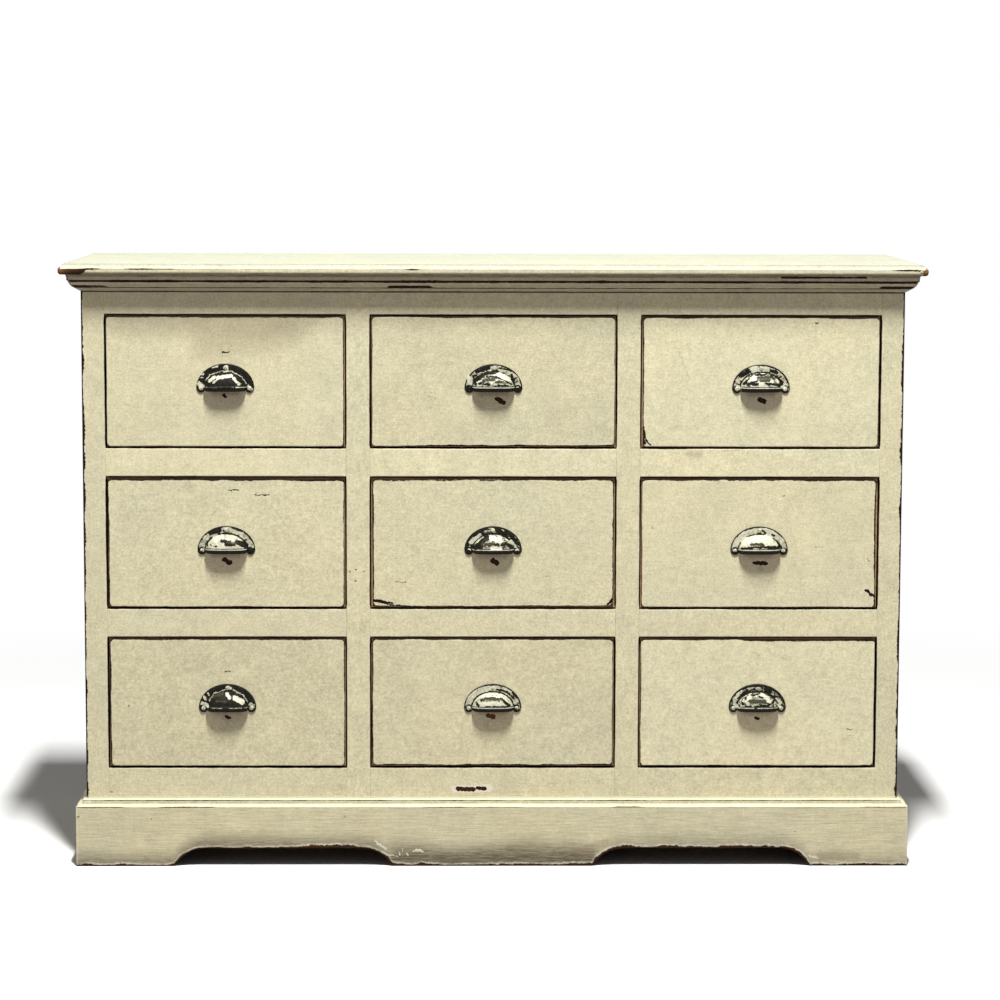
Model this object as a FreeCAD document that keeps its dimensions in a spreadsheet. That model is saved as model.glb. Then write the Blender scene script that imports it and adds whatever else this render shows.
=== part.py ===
"""Bank of nine drawers in painted pine, three columns of three, on a plinth.

The frame is the middle of the footprint on the floor: X runs along the width to the right,
Y runs from the front to the back, and Z points up. All sizes are in millimetres.
"""
import FreeCAD, Part
import math
import os
import Sketcher

# Driving sizes: name, size, meaning
SIZES = [
    ("carcase_width", 1290, "outside width over the two side boards"),
    ("carcase_depth", 423, "from the face frame's front to the back of the back boards"),
    ("outer_stile_width", 36, "face frame stiles at the two ends"),
    ("mid_stile_width", 37.5, "face frame stiles between the columns"),
    ("side_opening_width", 377.5, "drawer openings of the left and right columns"),
    ("opening_height", 210, "every drawer opening"),
    ("drawer_rail_height", 45, "face frame rails between the rows"),
    ("bottom_rail_height", 61, "face frame rails under the bottom row"),
    ("top_rail_height", 63, "face frame rails over the top row"),
    ("face_frame_thickness", 22, "stiles and rails, front to back"),
    ("side_thickness", 18, "side boards"),
    ("partition_thickness", 18, "partitions behind the mid stiles"),
    ("bottom_board_thickness", 15, "board that closes the carcase below"),
    ("back_board_thickness", 10, "upright boards that close the back"),
    ("back_rebate_width", 9, "how far the back boards reach over the side boards"),
    ("back_board_gap", 0.5, "open joint between two back boards"),
    ("back_board_bevel", 2, "bevel along each back board's outer edges"),
    ("top_board_thickness", 17, "top board"),
    ("top_overhang", 32, "top board past the carcase at the front and both ends"),
    ("top_bevel", 7.5, "bevel along the top board's upper edge"),
    ("top_round", 5, "radius along the top board's lower edge"),
    ("cornice_height", 26.5, "moulding under the top board"),
    ("cornice_projection", 22, "moulding's reach out from the carcase"),
    ("plinth_height", 95, "plinth boards"),
    ("plinth_thickness", 22, "plinth boards, face to back"),
    ("plinth_projection", 16, "plinth face out from the carcase"),
    ("plinth_cap_height", 11.6, "moulding that covers the plinth's ledge"),
    ("outer_foot_length", 156, "plinth front left standing at each end"),
    ("centre_foot_length", 319, "plinth front left standing between the arches"),
    ("arch_height", 27.5, "rise of the two arches in the plinth front"),
    ("arch_slope_length", 22, "run of an arch's sloping ends, to the corner before it is rounded"),
    ("arch_top_round", 55, "radius where an arch's slope meets its flat top"),
    ("arch_foot_round", 4, "radius where an arch's slope meets the floor"),
    ("glue_block_size", 28, "glue blocks inside the plinth, square section"),
    ("glue_block_height", 78, "glue blocks inside the plinth"),
    ("centre_block_length", 90, "glue blocks at the middle of the plinth"),
    ("kicker_height", 20, "strips over the drawer sides"),
    ("runner_ledge", 20, "how far runners and kickers reach past the opening's edge"),
    ("guide_height", 30, "strips beside the drawer sides"),
    ("stop_height", 22, "stop blocks behind the drawers"),
    ("drawer_gap", 2, "gap around a drawer front"),
    ("running_clearance", 0.3, "drawer side to runner, and drawer back to stop"),
    ("drawer_back_space", 23, "from the drawer sides' rear ends to the back boards"),
    ("drawer_front_thickness", 20, "drawer fronts"),
    ("drawer_front_bevel", 1.5, "softened edge around a drawer front's face"),
    ("drawer_front_corner", 2, "worn off each of a drawer front's four corners"),
    ("drawer_side_thickness", 12, "drawer sides"),
    ("drawer_side_drop", 6, "drawer side's top edge below the top of the opening"),
    ("drawer_back_thickness", 12, "drawer backs"),
    ("drawer_back_drop", 10, "drawer back's top edge below that of the sides"),
    ("drawer_bottom_thickness", 6, "drawer bottoms"),
    ("drawer_bottom_rise", 9, "drawer bottom above the lower edge of the sides"),
    ("groove_depth", 5, "grooves that hold the drawer bottom"),
    ("dovetail_length", 14, "dovetails that lap into the drawer front"),
    ("top_handle_drop", 10.5, "top row's handle screws below the middle of the opening"),
    ("middle_handle_drop", 11.5, "middle row's handle screws below the middle of the opening"),
    ("bottom_handle_drop", 8.5, "bottom row's handle screws below the middle of the opening"),
    ("cup_half_width", 32.5, "cup from its middle to its side"),
    ("cup_projection", 18, "cup out from the drawer front"),
    ("cup_height", 25.5, "cup's crown above the lower screws"),
    ("cup_drop", 4.5, "cup's mouth below the lower screws"),
    ("cup_wall", 2.4, "cup wall"),
    ("lip_height", 3, "top of the cup's thicker lip above the lower screws"),
    ("lip_thickening", 1, "lip out from the cup"),
    ("flange_width", 13, "flange around the cup"),
    ("flange_thickness", 2, "flange around the cup"),
    ("lobe_radius", 7, "round ends of the flange, around the lower screws"),
    ("lobe_offset", 5.5, "lower screws out from the cup's edge"),
    ("screw_head_radius", 3.2, "handle screw heads"),
    ("screw_head_height", 1.6, "handle screw heads"),
    ("screw_shank_radius", 1.7, "handle screw shanks"),
    ("screw_length", 14, "handle screws under the head"),
    ("screw_hole_clearance", 0.2, "hole around a handle screw"),
    ("cutter_overrun", 5, "how far a cutting shape runs past what it cuts"),
]

# Places and sizes worked out from the driving sizes: name, formula
PLACES = [
    ("half_width", "Sizes.carcase_width / 2"),
    ("outer_edge", "half_width - Sizes.outer_stile_width"),
    ("mid_stile_outer", "outer_edge - Sizes.side_opening_width"),
    ("mid_stile_inner", "mid_stile_outer - Sizes.mid_stile_width"),
    ("centre_opening_width", "2 * mid_stile_inner"),
    ("side_column_centre", "(outer_edge + mid_stile_outer) / 2"),
    ("outer_wall", "half_width - Sizes.side_thickness"),
    ("partition_centre", "(mid_stile_outer + mid_stile_inner) / 2"),
    ("partition_outer", "partition_centre + Sizes.partition_thickness / 2"),
    ("partition_inner", "partition_centre - Sizes.partition_thickness / 2"),
    ("front_face", "Sizes.top_overhang / 2 - Sizes.carcase_depth / 2"),
    ("frame_back", "front_face + Sizes.face_frame_thickness"),
    ("back_face", "front_face + Sizes.carcase_depth"),
    ("back_board_front", "back_face - Sizes.back_board_thickness"),
    ("inner_depth", "back_board_front - frame_back"),
    ("bottom_level", "Sizes.plinth_height + Sizes.bottom_rail_height"),
    ("row_pitch", "Sizes.opening_height + Sizes.drawer_rail_height"),
    ("middle_level", "bottom_level + row_pitch"),
    ("top_level", "middle_level + row_pitch"),
    ("top_rail_level", "top_level + Sizes.opening_height"),
    ("top_underside", "top_rail_level + Sizes.top_rail_height"),
    ("carcase_height", "top_underside - Sizes.plinth_height"),
    ("floor_board_top", "Sizes.plinth_height + Sizes.bottom_board_thickness"),
    ("plinth_inset", "Sizes.plinth_thickness - Sizes.plinth_projection"),
    ("runner_height", "Sizes.drawer_rail_height - Sizes.kicker_height"),
    ("drawer_length", "back_board_front - front_face - Sizes.drawer_back_space"),
    ("stop_start", "front_face + drawer_length + Sizes.running_clearance"),
    ("stop_depth", "back_board_front - stop_start"),
    ("side_board_height", "Sizes.opening_height - Sizes.drawer_side_drop - Sizes.running_clearance"),
    ("drawer_bottom_level", "Sizes.running_clearance + Sizes.drawer_bottom_rise"),
    ("drawer_back_level", "drawer_bottom_level + Sizes.drawer_bottom_thickness"),
    ("drawer_back_top", "Sizes.running_clearance + side_board_height - Sizes.drawer_back_drop"),
    ("drawer_back_height", "drawer_back_top - drawer_back_level"),
    ("flange_half_width", "Sizes.cup_half_width + Sizes.flange_width"),
    ("flange_height", "Sizes.cup_height + Sizes.flange_width"),
    ("lobe_centre", "Sizes.cup_half_width + Sizes.lobe_offset"),
    ("top_screw_height", "Sizes.cup_height + Sizes.flange_width / 2"),
]

BACK_BOARD_COUNT = 13
DOVETAIL_COUNT = 3
FLANGE_CHORDS = 14
LOBE_SIDES = 16
CUP_CHORDS = 18
CUP_BANDS = 5
HOLLOW_CHORDS = 12
HOLLOW_BANDS = 3
HEAD_SIDES = 12
SHANK_SIDES = 8

# The power of the sine and cosine in the cup's plan: at 1 it is half an ellipse, lower is squarer
CUP_CORNER_POWER = 0.67

# Shares of the size that they follow
TAIL_TIP_SHARE = 0.7
TAIL_SLOPE_SHARE = 0.17
CROWN_SHARE = 0.15

# The cornice's outline as shares of its projection and height, from its top front corner down
CORNICE_SHARES = {
    "cove_low": (0.93, 0.66),
    "cove_middle": (0.94, 0.84),
    "quirk": (0.85, 0.62),
    "belly": (0.73, 0.42),
    "belly_low": (0.52, 0.24),
    "fillet": (0.47, 0.22),
    "foot": (0.03, 0),
}
# The plinth cap's outline as shares of its projection and height, from its foot up
CAP_SHARES = {
    "bevel_top": (0.5, 0.46),
    "band_top": (0.41, 0.74),
    "quirk": (0.35, 0.78),
    "bead": (0.3, 0.97),
}

doc = FreeCAD.newDocument("bank_of_drawers")
pieces = []


def write_sheet(name, rows):
    """A spreadsheet with one named cell in each row."""
    sheet = doc.addObject("Spreadsheet::Sheet", name)
    for row, (alias, content, meaning) in enumerate(rows, 1):
        sheet.set(f"A{row}", meaning)
        sheet.set(f"B{row}", content)
        sheet.setAlias(f"B{row}", alias)
    doc.recompute()
    return sheet


sizes = write_sheet("Sizes", [(name, str(size), meaning) for name, size, meaning in SIZES])
places = write_sheet("Places", [(name, "=" + formula, name) for name, formula in PLACES])


def value(expression):
    """The number that an expression has now."""
    result = places.evalExpression(expression)
    return float(getattr(result, "Value", result))


def keep(thing, label):
    """Marks a finished sub-part; its label names its file."""
    thing.Label = label
    pieces.append(thing)
    return thing


def place(thing, x="0", y="0", z="0"):
    """Ties a piece's position to expressions."""
    for axis, expression in zip("xyz", (x, y, z)):
        thing.setExpression(f"Placement.Base.{axis}", expression)


def box(name, x, y, z, length, width, height):
    """A square-edged board; x, y and z are its lowest corner."""
    thing = doc.addObject("Part::Box", name)
    thing.setExpression("Length", length)
    thing.setExpression("Width", width)
    thing.setExpression("Height", height)
    place(thing, x, y, z)
    return thing


def group(name, members):
    """Separate solids in one sub-part."""
    thing = doc.addObject("Part::Compound", name)
    thing.Links = members
    return thing


def cut(name, base, tool):
    """The base with the tool's shape taken away."""
    thing = doc.addObject("Part::Cut", name)
    thing.Base = base
    thing.Tool = tool
    return thing


def new_body(name, x="0", y="0", z="0"):
    body = doc.addObject("PartDesign::Body", name)
    place(body, x, y, z)
    return body


def new_sketch(body, name, plane, out="0", across="0"):
    """A sketch on one of the body's own origin planes, moved out along its normal and across along its X."""
    sketch = body.newObject("Sketcher::SketchObject", name)
    support = next(part for part in body.Origin.OriginFeatures if part.Role == plane)
    sketch.AttachmentSupport = (support, [""])
    sketch.MapMode = "FlatFace"
    sketch.setExpression("AttachmentOffset.Base.z", out)
    sketch.setExpression("AttachmentOffset.Base.x", across)
    return sketch


def tie_point(sketch, geometry, vertex, x, y):
    """Ties a sketch point to its two expressions."""
    for kind, expression in (("DistanceX", x), ("DistanceY", y)):
        index = sketch.addConstraint(Sketcher.Constraint(kind, geometry, vertex, value(expression)))
        sketch.setExpression(f"Constraints[{index}]", expression)


def draw_outline(sketch, corners):
    """A closed outline. A corner is a pair of expressions, and a second pair a point on the arc after it."""
    ends = []
    for number, corner in enumerate(corners):
        following = corners[(number + 1) % len(corners)]
        start = FreeCAD.Vector(value(corner[0]), value(corner[1]), 0)
        finish = FreeCAD.Vector(value(following[0]), value(following[1]), 0)
        if len(corner) == 4:
            through = FreeCAD.Vector(value(corner[2]), value(corner[3]), 0)
            geometry = sketch.addGeometry(Part.Arc(start, through, finish))
            marker = sketch.addGeometry(Part.Point(through), True)
            tie_point(sketch, marker, 1, corner[2], corner[3])
            sketch.addConstraint(Sketcher.Constraint("PointOnObject", marker, 1, geometry))
        else:
            geometry = sketch.addGeometry(Part.LineSegment(start, finish))
        nearest = min((1, 2), key=lambda vertex: sketch.getPoint(geometry, vertex).distanceToPoint(start))
        ends.append((geometry, nearest, 3 - nearest))
    for number, (geometry, first, last) in enumerate(ends):
        after, after_first, _ = ends[(number + 1) % len(ends)]
        sketch.addConstraint(Sketcher.Constraint("Coincident", geometry, last, after, after_first))
        tie_point(sketch, geometry, first, corners[number][0], corners[number][1])


def pad(body, name, sketch, length, backwards=False):
    """Adds the sketch's outline, along its plane's normal or backwards."""
    feature = body.newObject("PartDesign::Pad", name)
    feature.Profile = sketch
    feature.setExpression("Length", length)
    feature.Reversed = backwards
    doc.recompute()
    return feature


def pocket(body, name, sketch, backwards=False):
    """Cuts the sketch's outline right through, against its plane's normal or backwards."""
    before = body.Shape.Volume
    feature = body.newObject("PartDesign::Pocket", name)
    feature.Profile = sketch
    feature.Type = "ThroughAll"
    feature.Reversed = backwards
    doc.recompute()
    if body.Shape.Volume >= before:
        raise RuntimeError(f"{name} cuts nothing")
    return feature


def edges_where(body, test):
    """The names of the edges of the body's last feature that pass the test, in the body's own frame."""
    return [f"Edge{number}" for number, edge in enumerate(body.Tip.Shape.Edges, 1) if test(edge)]


def level_edge(edge, axis, place):
    """Whether both ends of an edge lie at one place along an axis."""
    return all(same(getattr(vertex.Point, axis), place) for vertex in edge.Vertexes)


def dress(body, kind, name, edges, size_property, size):
    """A fillet or chamfer on the body's last feature."""
    base = body.Tip
    feature = body.newObject(f"PartDesign::{kind}", name)
    feature.Base = (base, edges)
    feature.setExpression(size_property, size)
    doc.recompute()
    return feature


def same(first, second):
    """Whether two lengths agree closely enough to be one place."""
    return abs(first - second) < 1e-4 * value("Sizes.carcase_width")


def mitre(body, name, corner, projection, inset, side):
    """Cuts the end beyond a carcase corner at 45 degrees; side is 1 at the +X end and -1 at the -X end."""
    reach = f"({projection} + Sizes.cutter_overrun)"
    back = f"({inset} + Sizes.cutter_overrun)"
    sketch = new_sketch(body, f"{name}_outline", "XY_Plane")
    draw_outline(sketch, [
        (f"{corner} - {side} * {back}", back),
        (f"{corner} + {side} * {reach}", f"-{reach}"),
        (f"{corner} + {side} * {reach}", back),
    ])
    pocket(body, name, sketch, backwards=True)


def lengthwise(body, name, profile, start, finish):
    """Runs a profile, drawn out from the carcase and up, along the body's X from start to finish."""
    sketch = new_sketch(body, f"{name}_profile", "YZ_Plane", out=start)
    draw_outline(sketch, profile)
    pad(body, name, sketch, f"{finish} - ({start})")


def cornice_profile():
    """The cornice's section: a shallow cove, a quirk, a rounded belly and a straight foot."""
    def at(name):
        out_share, up_share = CORNICE_SHARES[name]
        return f"-{out_share} * Sizes.cornice_projection", f"{up_share} * Sizes.cornice_height"

    return [
        ("0", "0"),
        ("0", "Sizes.cornice_height"),
        ("-Sizes.cornice_projection", "Sizes.cornice_height", *at("cove_middle")),
        at("cove_low"),
        (*at("quirk"), *at("belly")),
        at("belly_low"),
        at("fillet"),
        at("foot"),
    ]


def cap_profile():
    """The plinth cap's section: a bevelled band with a quirk and a small bead over it."""
    def at(name):
        out_share, up_share = CAP_SHARES[name]
        return f"-{out_share} * Sizes.plinth_projection", f"{up_share} * Sizes.plinth_cap_height"

    return [
        ("0", "0"),
        ("0", "Sizes.plinth_cap_height"),
        at("bead"),
        at("quirk"),
        at("band_top"),
        at("bevel_top"),
        ("-Sizes.plinth_projection", "0"),
    ]


def plinth_profile():
    return [
        ("-Sizes.plinth_projection", "0"),
        ("Places.plinth_inset", "0"),
        ("Places.plinth_inset", "Sizes.plinth_height"),
        ("-Sizes.plinth_projection", "Sizes.plinth_height"),
    ]


def front_length(name, profile, z, projection):
    """A moulding along the front, mitred at both corners."""
    body = new_body(name, y="Places.front_face", z=z)
    end = f"(Places.half_width + {projection})"
    lengthwise(body, f"{name}_run", profile, f"-{end}", end)
    mitre(body, f"{name}_right_mitre", "Places.half_width", projection, "0", 1)
    mitre(body, f"{name}_left_mitre", "-Places.half_width", projection, "0", -1)
    return body


def return_length(name, profile, z, projection, inset, side):
    """A moulding or plinth board along one end of the carcase, mitred at the front corner."""
    body = new_body(name, f"{side} * Places.half_width", "Places.front_face", z)
    body.Placement.Rotation = FreeCAD.Rotation(FreeCAD.Vector(0, 0, 1), 90 * side)
    near, far = f"-{side} * {projection}", f"{side} * Sizes.carcase_depth"
    start, finish = (near, far) if side > 0 else (far, near)
    lengthwise(body, f"{name}_run", profile, start, finish)
    mitre(body, f"{name}_mitre", "0", projection, inset, -side)
    return body


def make_top_board():
    body = new_body("top_board", z="Places.top_underside")
    end = "(Places.half_width + Sizes.top_overhang)"
    front = "(Places.front_face - Sizes.top_overhang)"
    sketch = new_sketch(body, "top_outline", "XY_Plane")
    draw_outline(sketch, [
        (f"-{end}", front), (end, front), (end, "Places.back_face"), (f"-{end}", "Places.back_face"),
    ])
    pad(body, "top_slab", sketch, "Sizes.top_board_thickness")

    def outer_edges(height):
        """The edges at this height along the front and both ends."""
        back = value("Places.back_face")
        return edges_where(
            body, lambda edge: level_edge(edge, "z", height) and not level_edge(edge, "y", back)
        )

    dress(body, "Fillet", "top_lower_round", outer_edges(0), "Radius", "Sizes.top_round")
    upper = outer_edges(value("Sizes.top_board_thickness"))
    dress(body, "Chamfer", "top_upper_bevel", upper, "Size", "Sizes.top_bevel")
    keep(body, "top_board")


def make_cornice():
    rise = "Places.top_underside - Sizes.cornice_height"
    out = "Sizes.cornice_projection"
    keep(front_length("cornice_front", cornice_profile(), rise, out), "cornice_front")
    returns = [
        return_length("left_cornice_return", cornice_profile(), rise, out, "0", -1),
        return_length("right_cornice_return", cornice_profile(), rise, out, "0", 1),
    ]
    keep(group("cornice_return_pair", returns), "cornice_returns")


def make_plinth():
    """Four boards; the front one has two arches and the cap covers the ledge."""
    out = "Sizes.plinth_projection"
    inset = "Places.plinth_inset"
    end = f"(Places.half_width + {out})"
    arch_outer = f"({end} - Sizes.outer_foot_length)"
    arch_inner = "(Sizes.centre_foot_length / 2)"
    slope = "Sizes.arch_slope_length"
    right_arch = [
        (arch_inner, "0"),
        (f"{arch_inner} + {slope}", "Sizes.arch_height"),
        (f"{arch_outer} - {slope}", "Sizes.arch_height"),
        (arch_outer, "0"),
    ]
    left_arch = [(f"-({x})", z) for x, z in reversed(right_arch)]
    body = new_body("plinth_front", y="Places.front_face")
    sketch = new_sketch(body, "plinth_front_outline", "XZ_Plane", out=out)
    draw_outline(sketch, [
        (f"-{end}", "0"), *left_arch, *right_arch, (end, "0"),
        (end, "Sizes.plinth_height"), (f"-{end}", "Sizes.plinth_height"),
    ])
    pad(body, "plinth_front_board", sketch, "Sizes.plinth_thickness", backwards=True)

    def arch_edges(corners):
        """The edges through the board at these corners of the arches."""
        spots = [(sign * value(x), value(z)) for x, z in corners for sign in (1, -1)]
        return edges_where(body, lambda edge: any(
            level_edge(edge, "x", x) and level_edge(edge, "z", z) for x, z in spots
        ))

    tops = arch_edges([right_arch[1], right_arch[2]])
    dress(body, "Fillet", "arch_top_rounds", tops, "Radius", "Sizes.arch_top_round")
    feet = arch_edges([right_arch[0], right_arch[3]])
    dress(body, "Fillet", "arch_foot_rounds", feet, "Radius", "Sizes.arch_foot_round")
    mitre(body, "plinth_right_mitre", "Places.half_width", out, inset, 1)
    mitre(body, "plinth_left_mitre", "-Places.half_width", out, inset, -1)
    keep(body, "plinth_front")

    sides = [
        return_length("left_plinth_side", plinth_profile(), "0", out, inset, -1),
        return_length("right_plinth_side", plinth_profile(), "0", out, inset, 1),
    ]
    keep(group("plinth_side_pair", sides), "plinth_sides")
    clear = f"(Places.half_width - {inset})"
    keep(
        box("plinth_back_board", f"-{clear}", "Places.back_face - Sizes.plinth_thickness", "0",
            f"2 * {clear}", "Sizes.plinth_thickness", "Sizes.plinth_height"),
        "plinth_back",
    )
    keep(front_length("plinth_cap_front", cap_profile(), "Sizes.plinth_height", out), "plinth_cap_front")
    returns = [
        return_length("left_cap_return", cap_profile(), "Sizes.plinth_height", out, "0", -1),
        return_length("right_cap_return", cap_profile(), "Sizes.plinth_height", out, "0", 1),
    ]
    keep(group("plinth_cap_return_pair", returns), "plinth_cap_returns")


def make_glue_blocks():
    """Blocks in the plinth's corners and at the middle of its front and back, under the carcase."""
    size = "Sizes.glue_block_size"
    middle = "Sizes.centre_block_length"
    corner = "(Places.half_width - Places.plinth_inset)"
    front = "Places.front_face + Places.plinth_inset"
    back = f"Places.back_face - Sizes.plinth_thickness - {size}"
    blocks = []
    for row, y in (("front", front), ("rear", back)):
        for side, x, length in (
            ("left", f"-{corner}", size),
            ("middle", f"-{middle} / 2", middle),
            ("right", f"{corner} - {size}", size),
        ):
            name = f"{row}_{side}_glue_block"
            z = "Sizes.plinth_height - Sizes.glue_block_height"
            blocks.append(box(name, x, y, z, length, size, "Sizes.glue_block_height"))
    keep(group("glue_block_set", blocks), "glue_blocks")


def make_carcase_boards():
    """Sides with a rebate for the back boards, partitions, bottom board and back boards."""
    for label, side in (("left_side", -1), ("right_side", 1)):
        body = new_body(label, f"{side} * Places.half_width", z="Sizes.plinth_height")
        sketch = new_sketch(body, f"{label}_plan", "XY_Plane")
        inward = f"{-side} * "
        draw_outline(sketch, [
            ("0", "Places.frame_back"),
            (f"{inward}Sizes.side_thickness", "Places.frame_back"),
            (f"{inward}Sizes.side_thickness", "Places.back_board_front"),
            (f"{inward}Sizes.back_rebate_width", "Places.back_board_front"),
            (f"{inward}Sizes.back_rebate_width", "Places.back_face"),
            ("0", "Places.back_face"),
        ])
        pad(body, f"{label}_board", sketch, "Places.carcase_height")
        keep(body, label)

    height = "Places.top_underside - Places.floor_board_top"
    partitions = [
        box(f"{name}_partition", x, "Places.frame_back", "Places.floor_board_top",
            "Sizes.partition_thickness", "Places.inner_depth", height)
        for name, x in (("left", "-Places.partition_outer"), ("right", "Places.partition_inner"))
    ]
    keep(group("partition_pair", partitions), "partitions")
    keep(
        box("floor_board", "-Places.outer_wall", "Places.frame_back", "Sizes.plinth_height",
            "2 * Places.outer_wall", "Places.inner_depth", "Sizes.bottom_board_thickness"),
        "bottom_board",
    )


def make_back_boards():
    """Upright boards with bevelled edges, side by side in the rebates."""
    body = new_body("back_boards", z="Sizes.plinth_height")
    start = "(Sizes.back_rebate_width - Places.half_width)"
    pitch = f"(-2 * {start} / {BACK_BOARD_COUNT})"
    finish = f"({start} + {pitch} - Sizes.back_board_gap)"
    bevel = "Sizes.back_board_bevel"
    sketch = new_sketch(body, "back_board_plan", "XY_Plane")
    draw_outline(sketch, [
        (start, "Places.back_board_front"),
        (finish, "Places.back_board_front"),
        (finish, f"Places.back_face - {bevel}"),
        (f"{finish} - {bevel}", "Places.back_face"),
        (f"{start} + {bevel}", "Places.back_face"),
        (start, f"Places.back_face - {bevel}"),
    ])
    first = pad(body, "first_back_board", sketch, "Places.carcase_height")
    pattern = body.newObject("PartDesign::LinearPattern", "back_board_row")
    pattern.Originals = [first]
    pattern.Direction = (sketch, ["H_Axis"])
    pattern.setExpression("Length", f"{BACK_BOARD_COUNT - 1} * {pitch}")
    pattern.Occurrences = BACK_BOARD_COUNT
    body.Tip = pattern
    keep(body, "back_boards")


COLUMNS = {
    "left": {
        "centre": "-Places.side_column_centre",
        "width": "Sizes.side_opening_width",
        "walls": ("-Places.outer_wall", "-Places.partition_outer"),
        "edges": ("-Places.outer_edge", "-Places.mid_stile_outer"),
    },
    "centre": {
        "centre": "0",
        "width": "Places.centre_opening_width",
        "walls": ("-Places.partition_inner", "Places.partition_inner"),
        "edges": ("-Places.mid_stile_inner", "Places.mid_stile_inner"),
    },
    "right": {
        "centre": "Places.side_column_centre",
        "width": "Sizes.side_opening_width",
        "walls": ("Places.partition_outer", "Places.outer_wall"),
        "edges": ("Places.mid_stile_outer", "Places.outer_edge"),
    },
}
ROWS = {"top": "Places.top_level", "middle": "Places.middle_level", "bottom": "Places.bottom_level"}


def make_face_frame():
    """Stiles that run the full height, with the rails between them."""
    outer, middle = "Sizes.outer_stile_width", "Sizes.mid_stile_width"
    for label, name, width, starts in (
        ("outer_stiles", "outer_stile", outer, ("-Places.half_width", "Places.outer_edge")),
        ("mid_stiles", "mid_stile", middle, ("-Places.mid_stile_outer", "Places.mid_stile_inner")),
    ):
        stiles = [
            box(f"{side}_{name}", x, "Places.front_face", "Sizes.plinth_height",
                width, "Sizes.face_frame_thickness", "Places.carcase_height")
            for side, x in zip(("left", "right"), starts)
        ]
        keep(group(f"{name}_pair", stiles), label)
    for label, z, height in (
        ("top_rails", "Places.top_rail_level", "Sizes.top_rail_height"),
        ("upper_drawer_rails", "Places.top_level - Sizes.drawer_rail_height", "Sizes.drawer_rail_height"),
        ("lower_drawer_rails", "Places.middle_level - Sizes.drawer_rail_height", "Sizes.drawer_rail_height"),
        ("bottom_rails", "Sizes.plinth_height", "Sizes.bottom_rail_height"),
    ):
        rails = [
            box(f"{column}_of_{label}", spots["edges"][0], "Places.front_face", z,
                spots["width"], "Sizes.face_frame_thickness", height)
            for column, spots in COLUMNS.items()
        ]
        keep(group(f"{label}_set", rails), label)


def make_drawer_slides():
    """Runners under each drawer side, guides beside it, kickers over it, and stops behind the drawer."""
    sets = {"runner": [], "guide": [], "kicker": [], "stop": []}
    ledge = "Sizes.runner_ledge"
    for row, level in ROWS.items():
        for column, spots in COLUMNS.items():
            for side, wall, edge in zip((1, -1), spots["walls"], spots["edges"]):
                name = f"{row}_{column}_{'left' if side > 0 else 'right'}"
                reach = f"abs({edge} - ({wall}))"
                low = wall if side > 0 else f"{edge} - {ledge}"
                guide_low = wall if side > 0 else edge
                stop_low = edge if side > 0 else f"{edge} - {ledge}"
                back = "Places.inner_depth"
                sets["runner"].append(box(
                    f"{name}_runner", low, "Places.frame_back", f"{level} - Places.runner_height",
                    f"{reach} + {ledge}", back, "Places.runner_height",
                ))
                sets["kicker"].append(box(
                    f"{name}_kicker", low, "Places.frame_back", f"{level} + Sizes.opening_height",
                    f"{reach} + {ledge}", back, "Sizes.kicker_height",
                ))
                sets["guide"].append(box(
                    f"{name}_guide", guide_low, "Places.frame_back", level, reach, back, "Sizes.guide_height",
                ))
                sets["stop"].append(box(
                    f"{name}_stop", stop_low, "Places.stop_start", level,
                    ledge, "Places.stop_depth", "Sizes.stop_height",
                ))
    for kind, members in sets.items():
        keep(group(f"{kind}_set", members), f"drawer_{kind}s")


def drawer_side_outline():
    """A drawer side seen from its end of the chest: dovetails at the front, square at the back."""
    low = "Sizes.running_clearance"
    pitch = f"(Places.side_board_height / {DOVETAIL_COUNT})"
    shoulder = "Sizes.drawer_front_thickness"
    tip = f"({shoulder} - Sizes.dovetail_length)"
    half_tip = f"{pitch} * {TAIL_TIP_SHARE} / 2"
    half_root = f"({half_tip} - Sizes.dovetail_length * {TAIL_SLOPE_SHARE})"
    corners = [(shoulder, f"{low} + Places.side_board_height")]
    for number in reversed(range(DOVETAIL_COUNT)):
        middle = f"{low} + {number + 0.5} * {pitch}"
        corners += [
            (shoulder, f"{middle} + {half_root}"),
            (tip, f"{middle} + {half_tip}"),
            (tip, f"{middle} - {half_tip}"),
            (shoulder, f"{middle} - {half_root}"),
        ]
    return corners + [
        (shoulder, low),
        ("Places.drawer_length", low),
        ("Places.drawer_length", f"{low} + Places.side_board_height"),
    ]


def pin(name, sides, radius, x, y, z, length):
    """A many-sided pin that points into the drawer front from y."""
    thing = doc.addObject("Part::Prism", name)
    thing.Polygon = sides
    thing.setExpression("Circumradius", radius)
    thing.setExpression("Height", length)
    thing.Placement.Rotation = FreeCAD.Rotation(FreeCAD.Vector(1, 0, 0), -90)
    place(thing, x, y, z)
    return thing


def cup_plan(chords):
    """The cup's outline in plan, as shares of its half width and projection."""
    plan = []
    for step in range(chords + 1):
        turn = math.pi * step / chords
        across = math.copysign(abs(math.cos(turn)) ** CUP_CORNER_POWER, -math.cos(turn))
        plan.append((across, abs(round(math.sin(turn), 9)) ** CUP_CORNER_POWER))
    return plan


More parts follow.
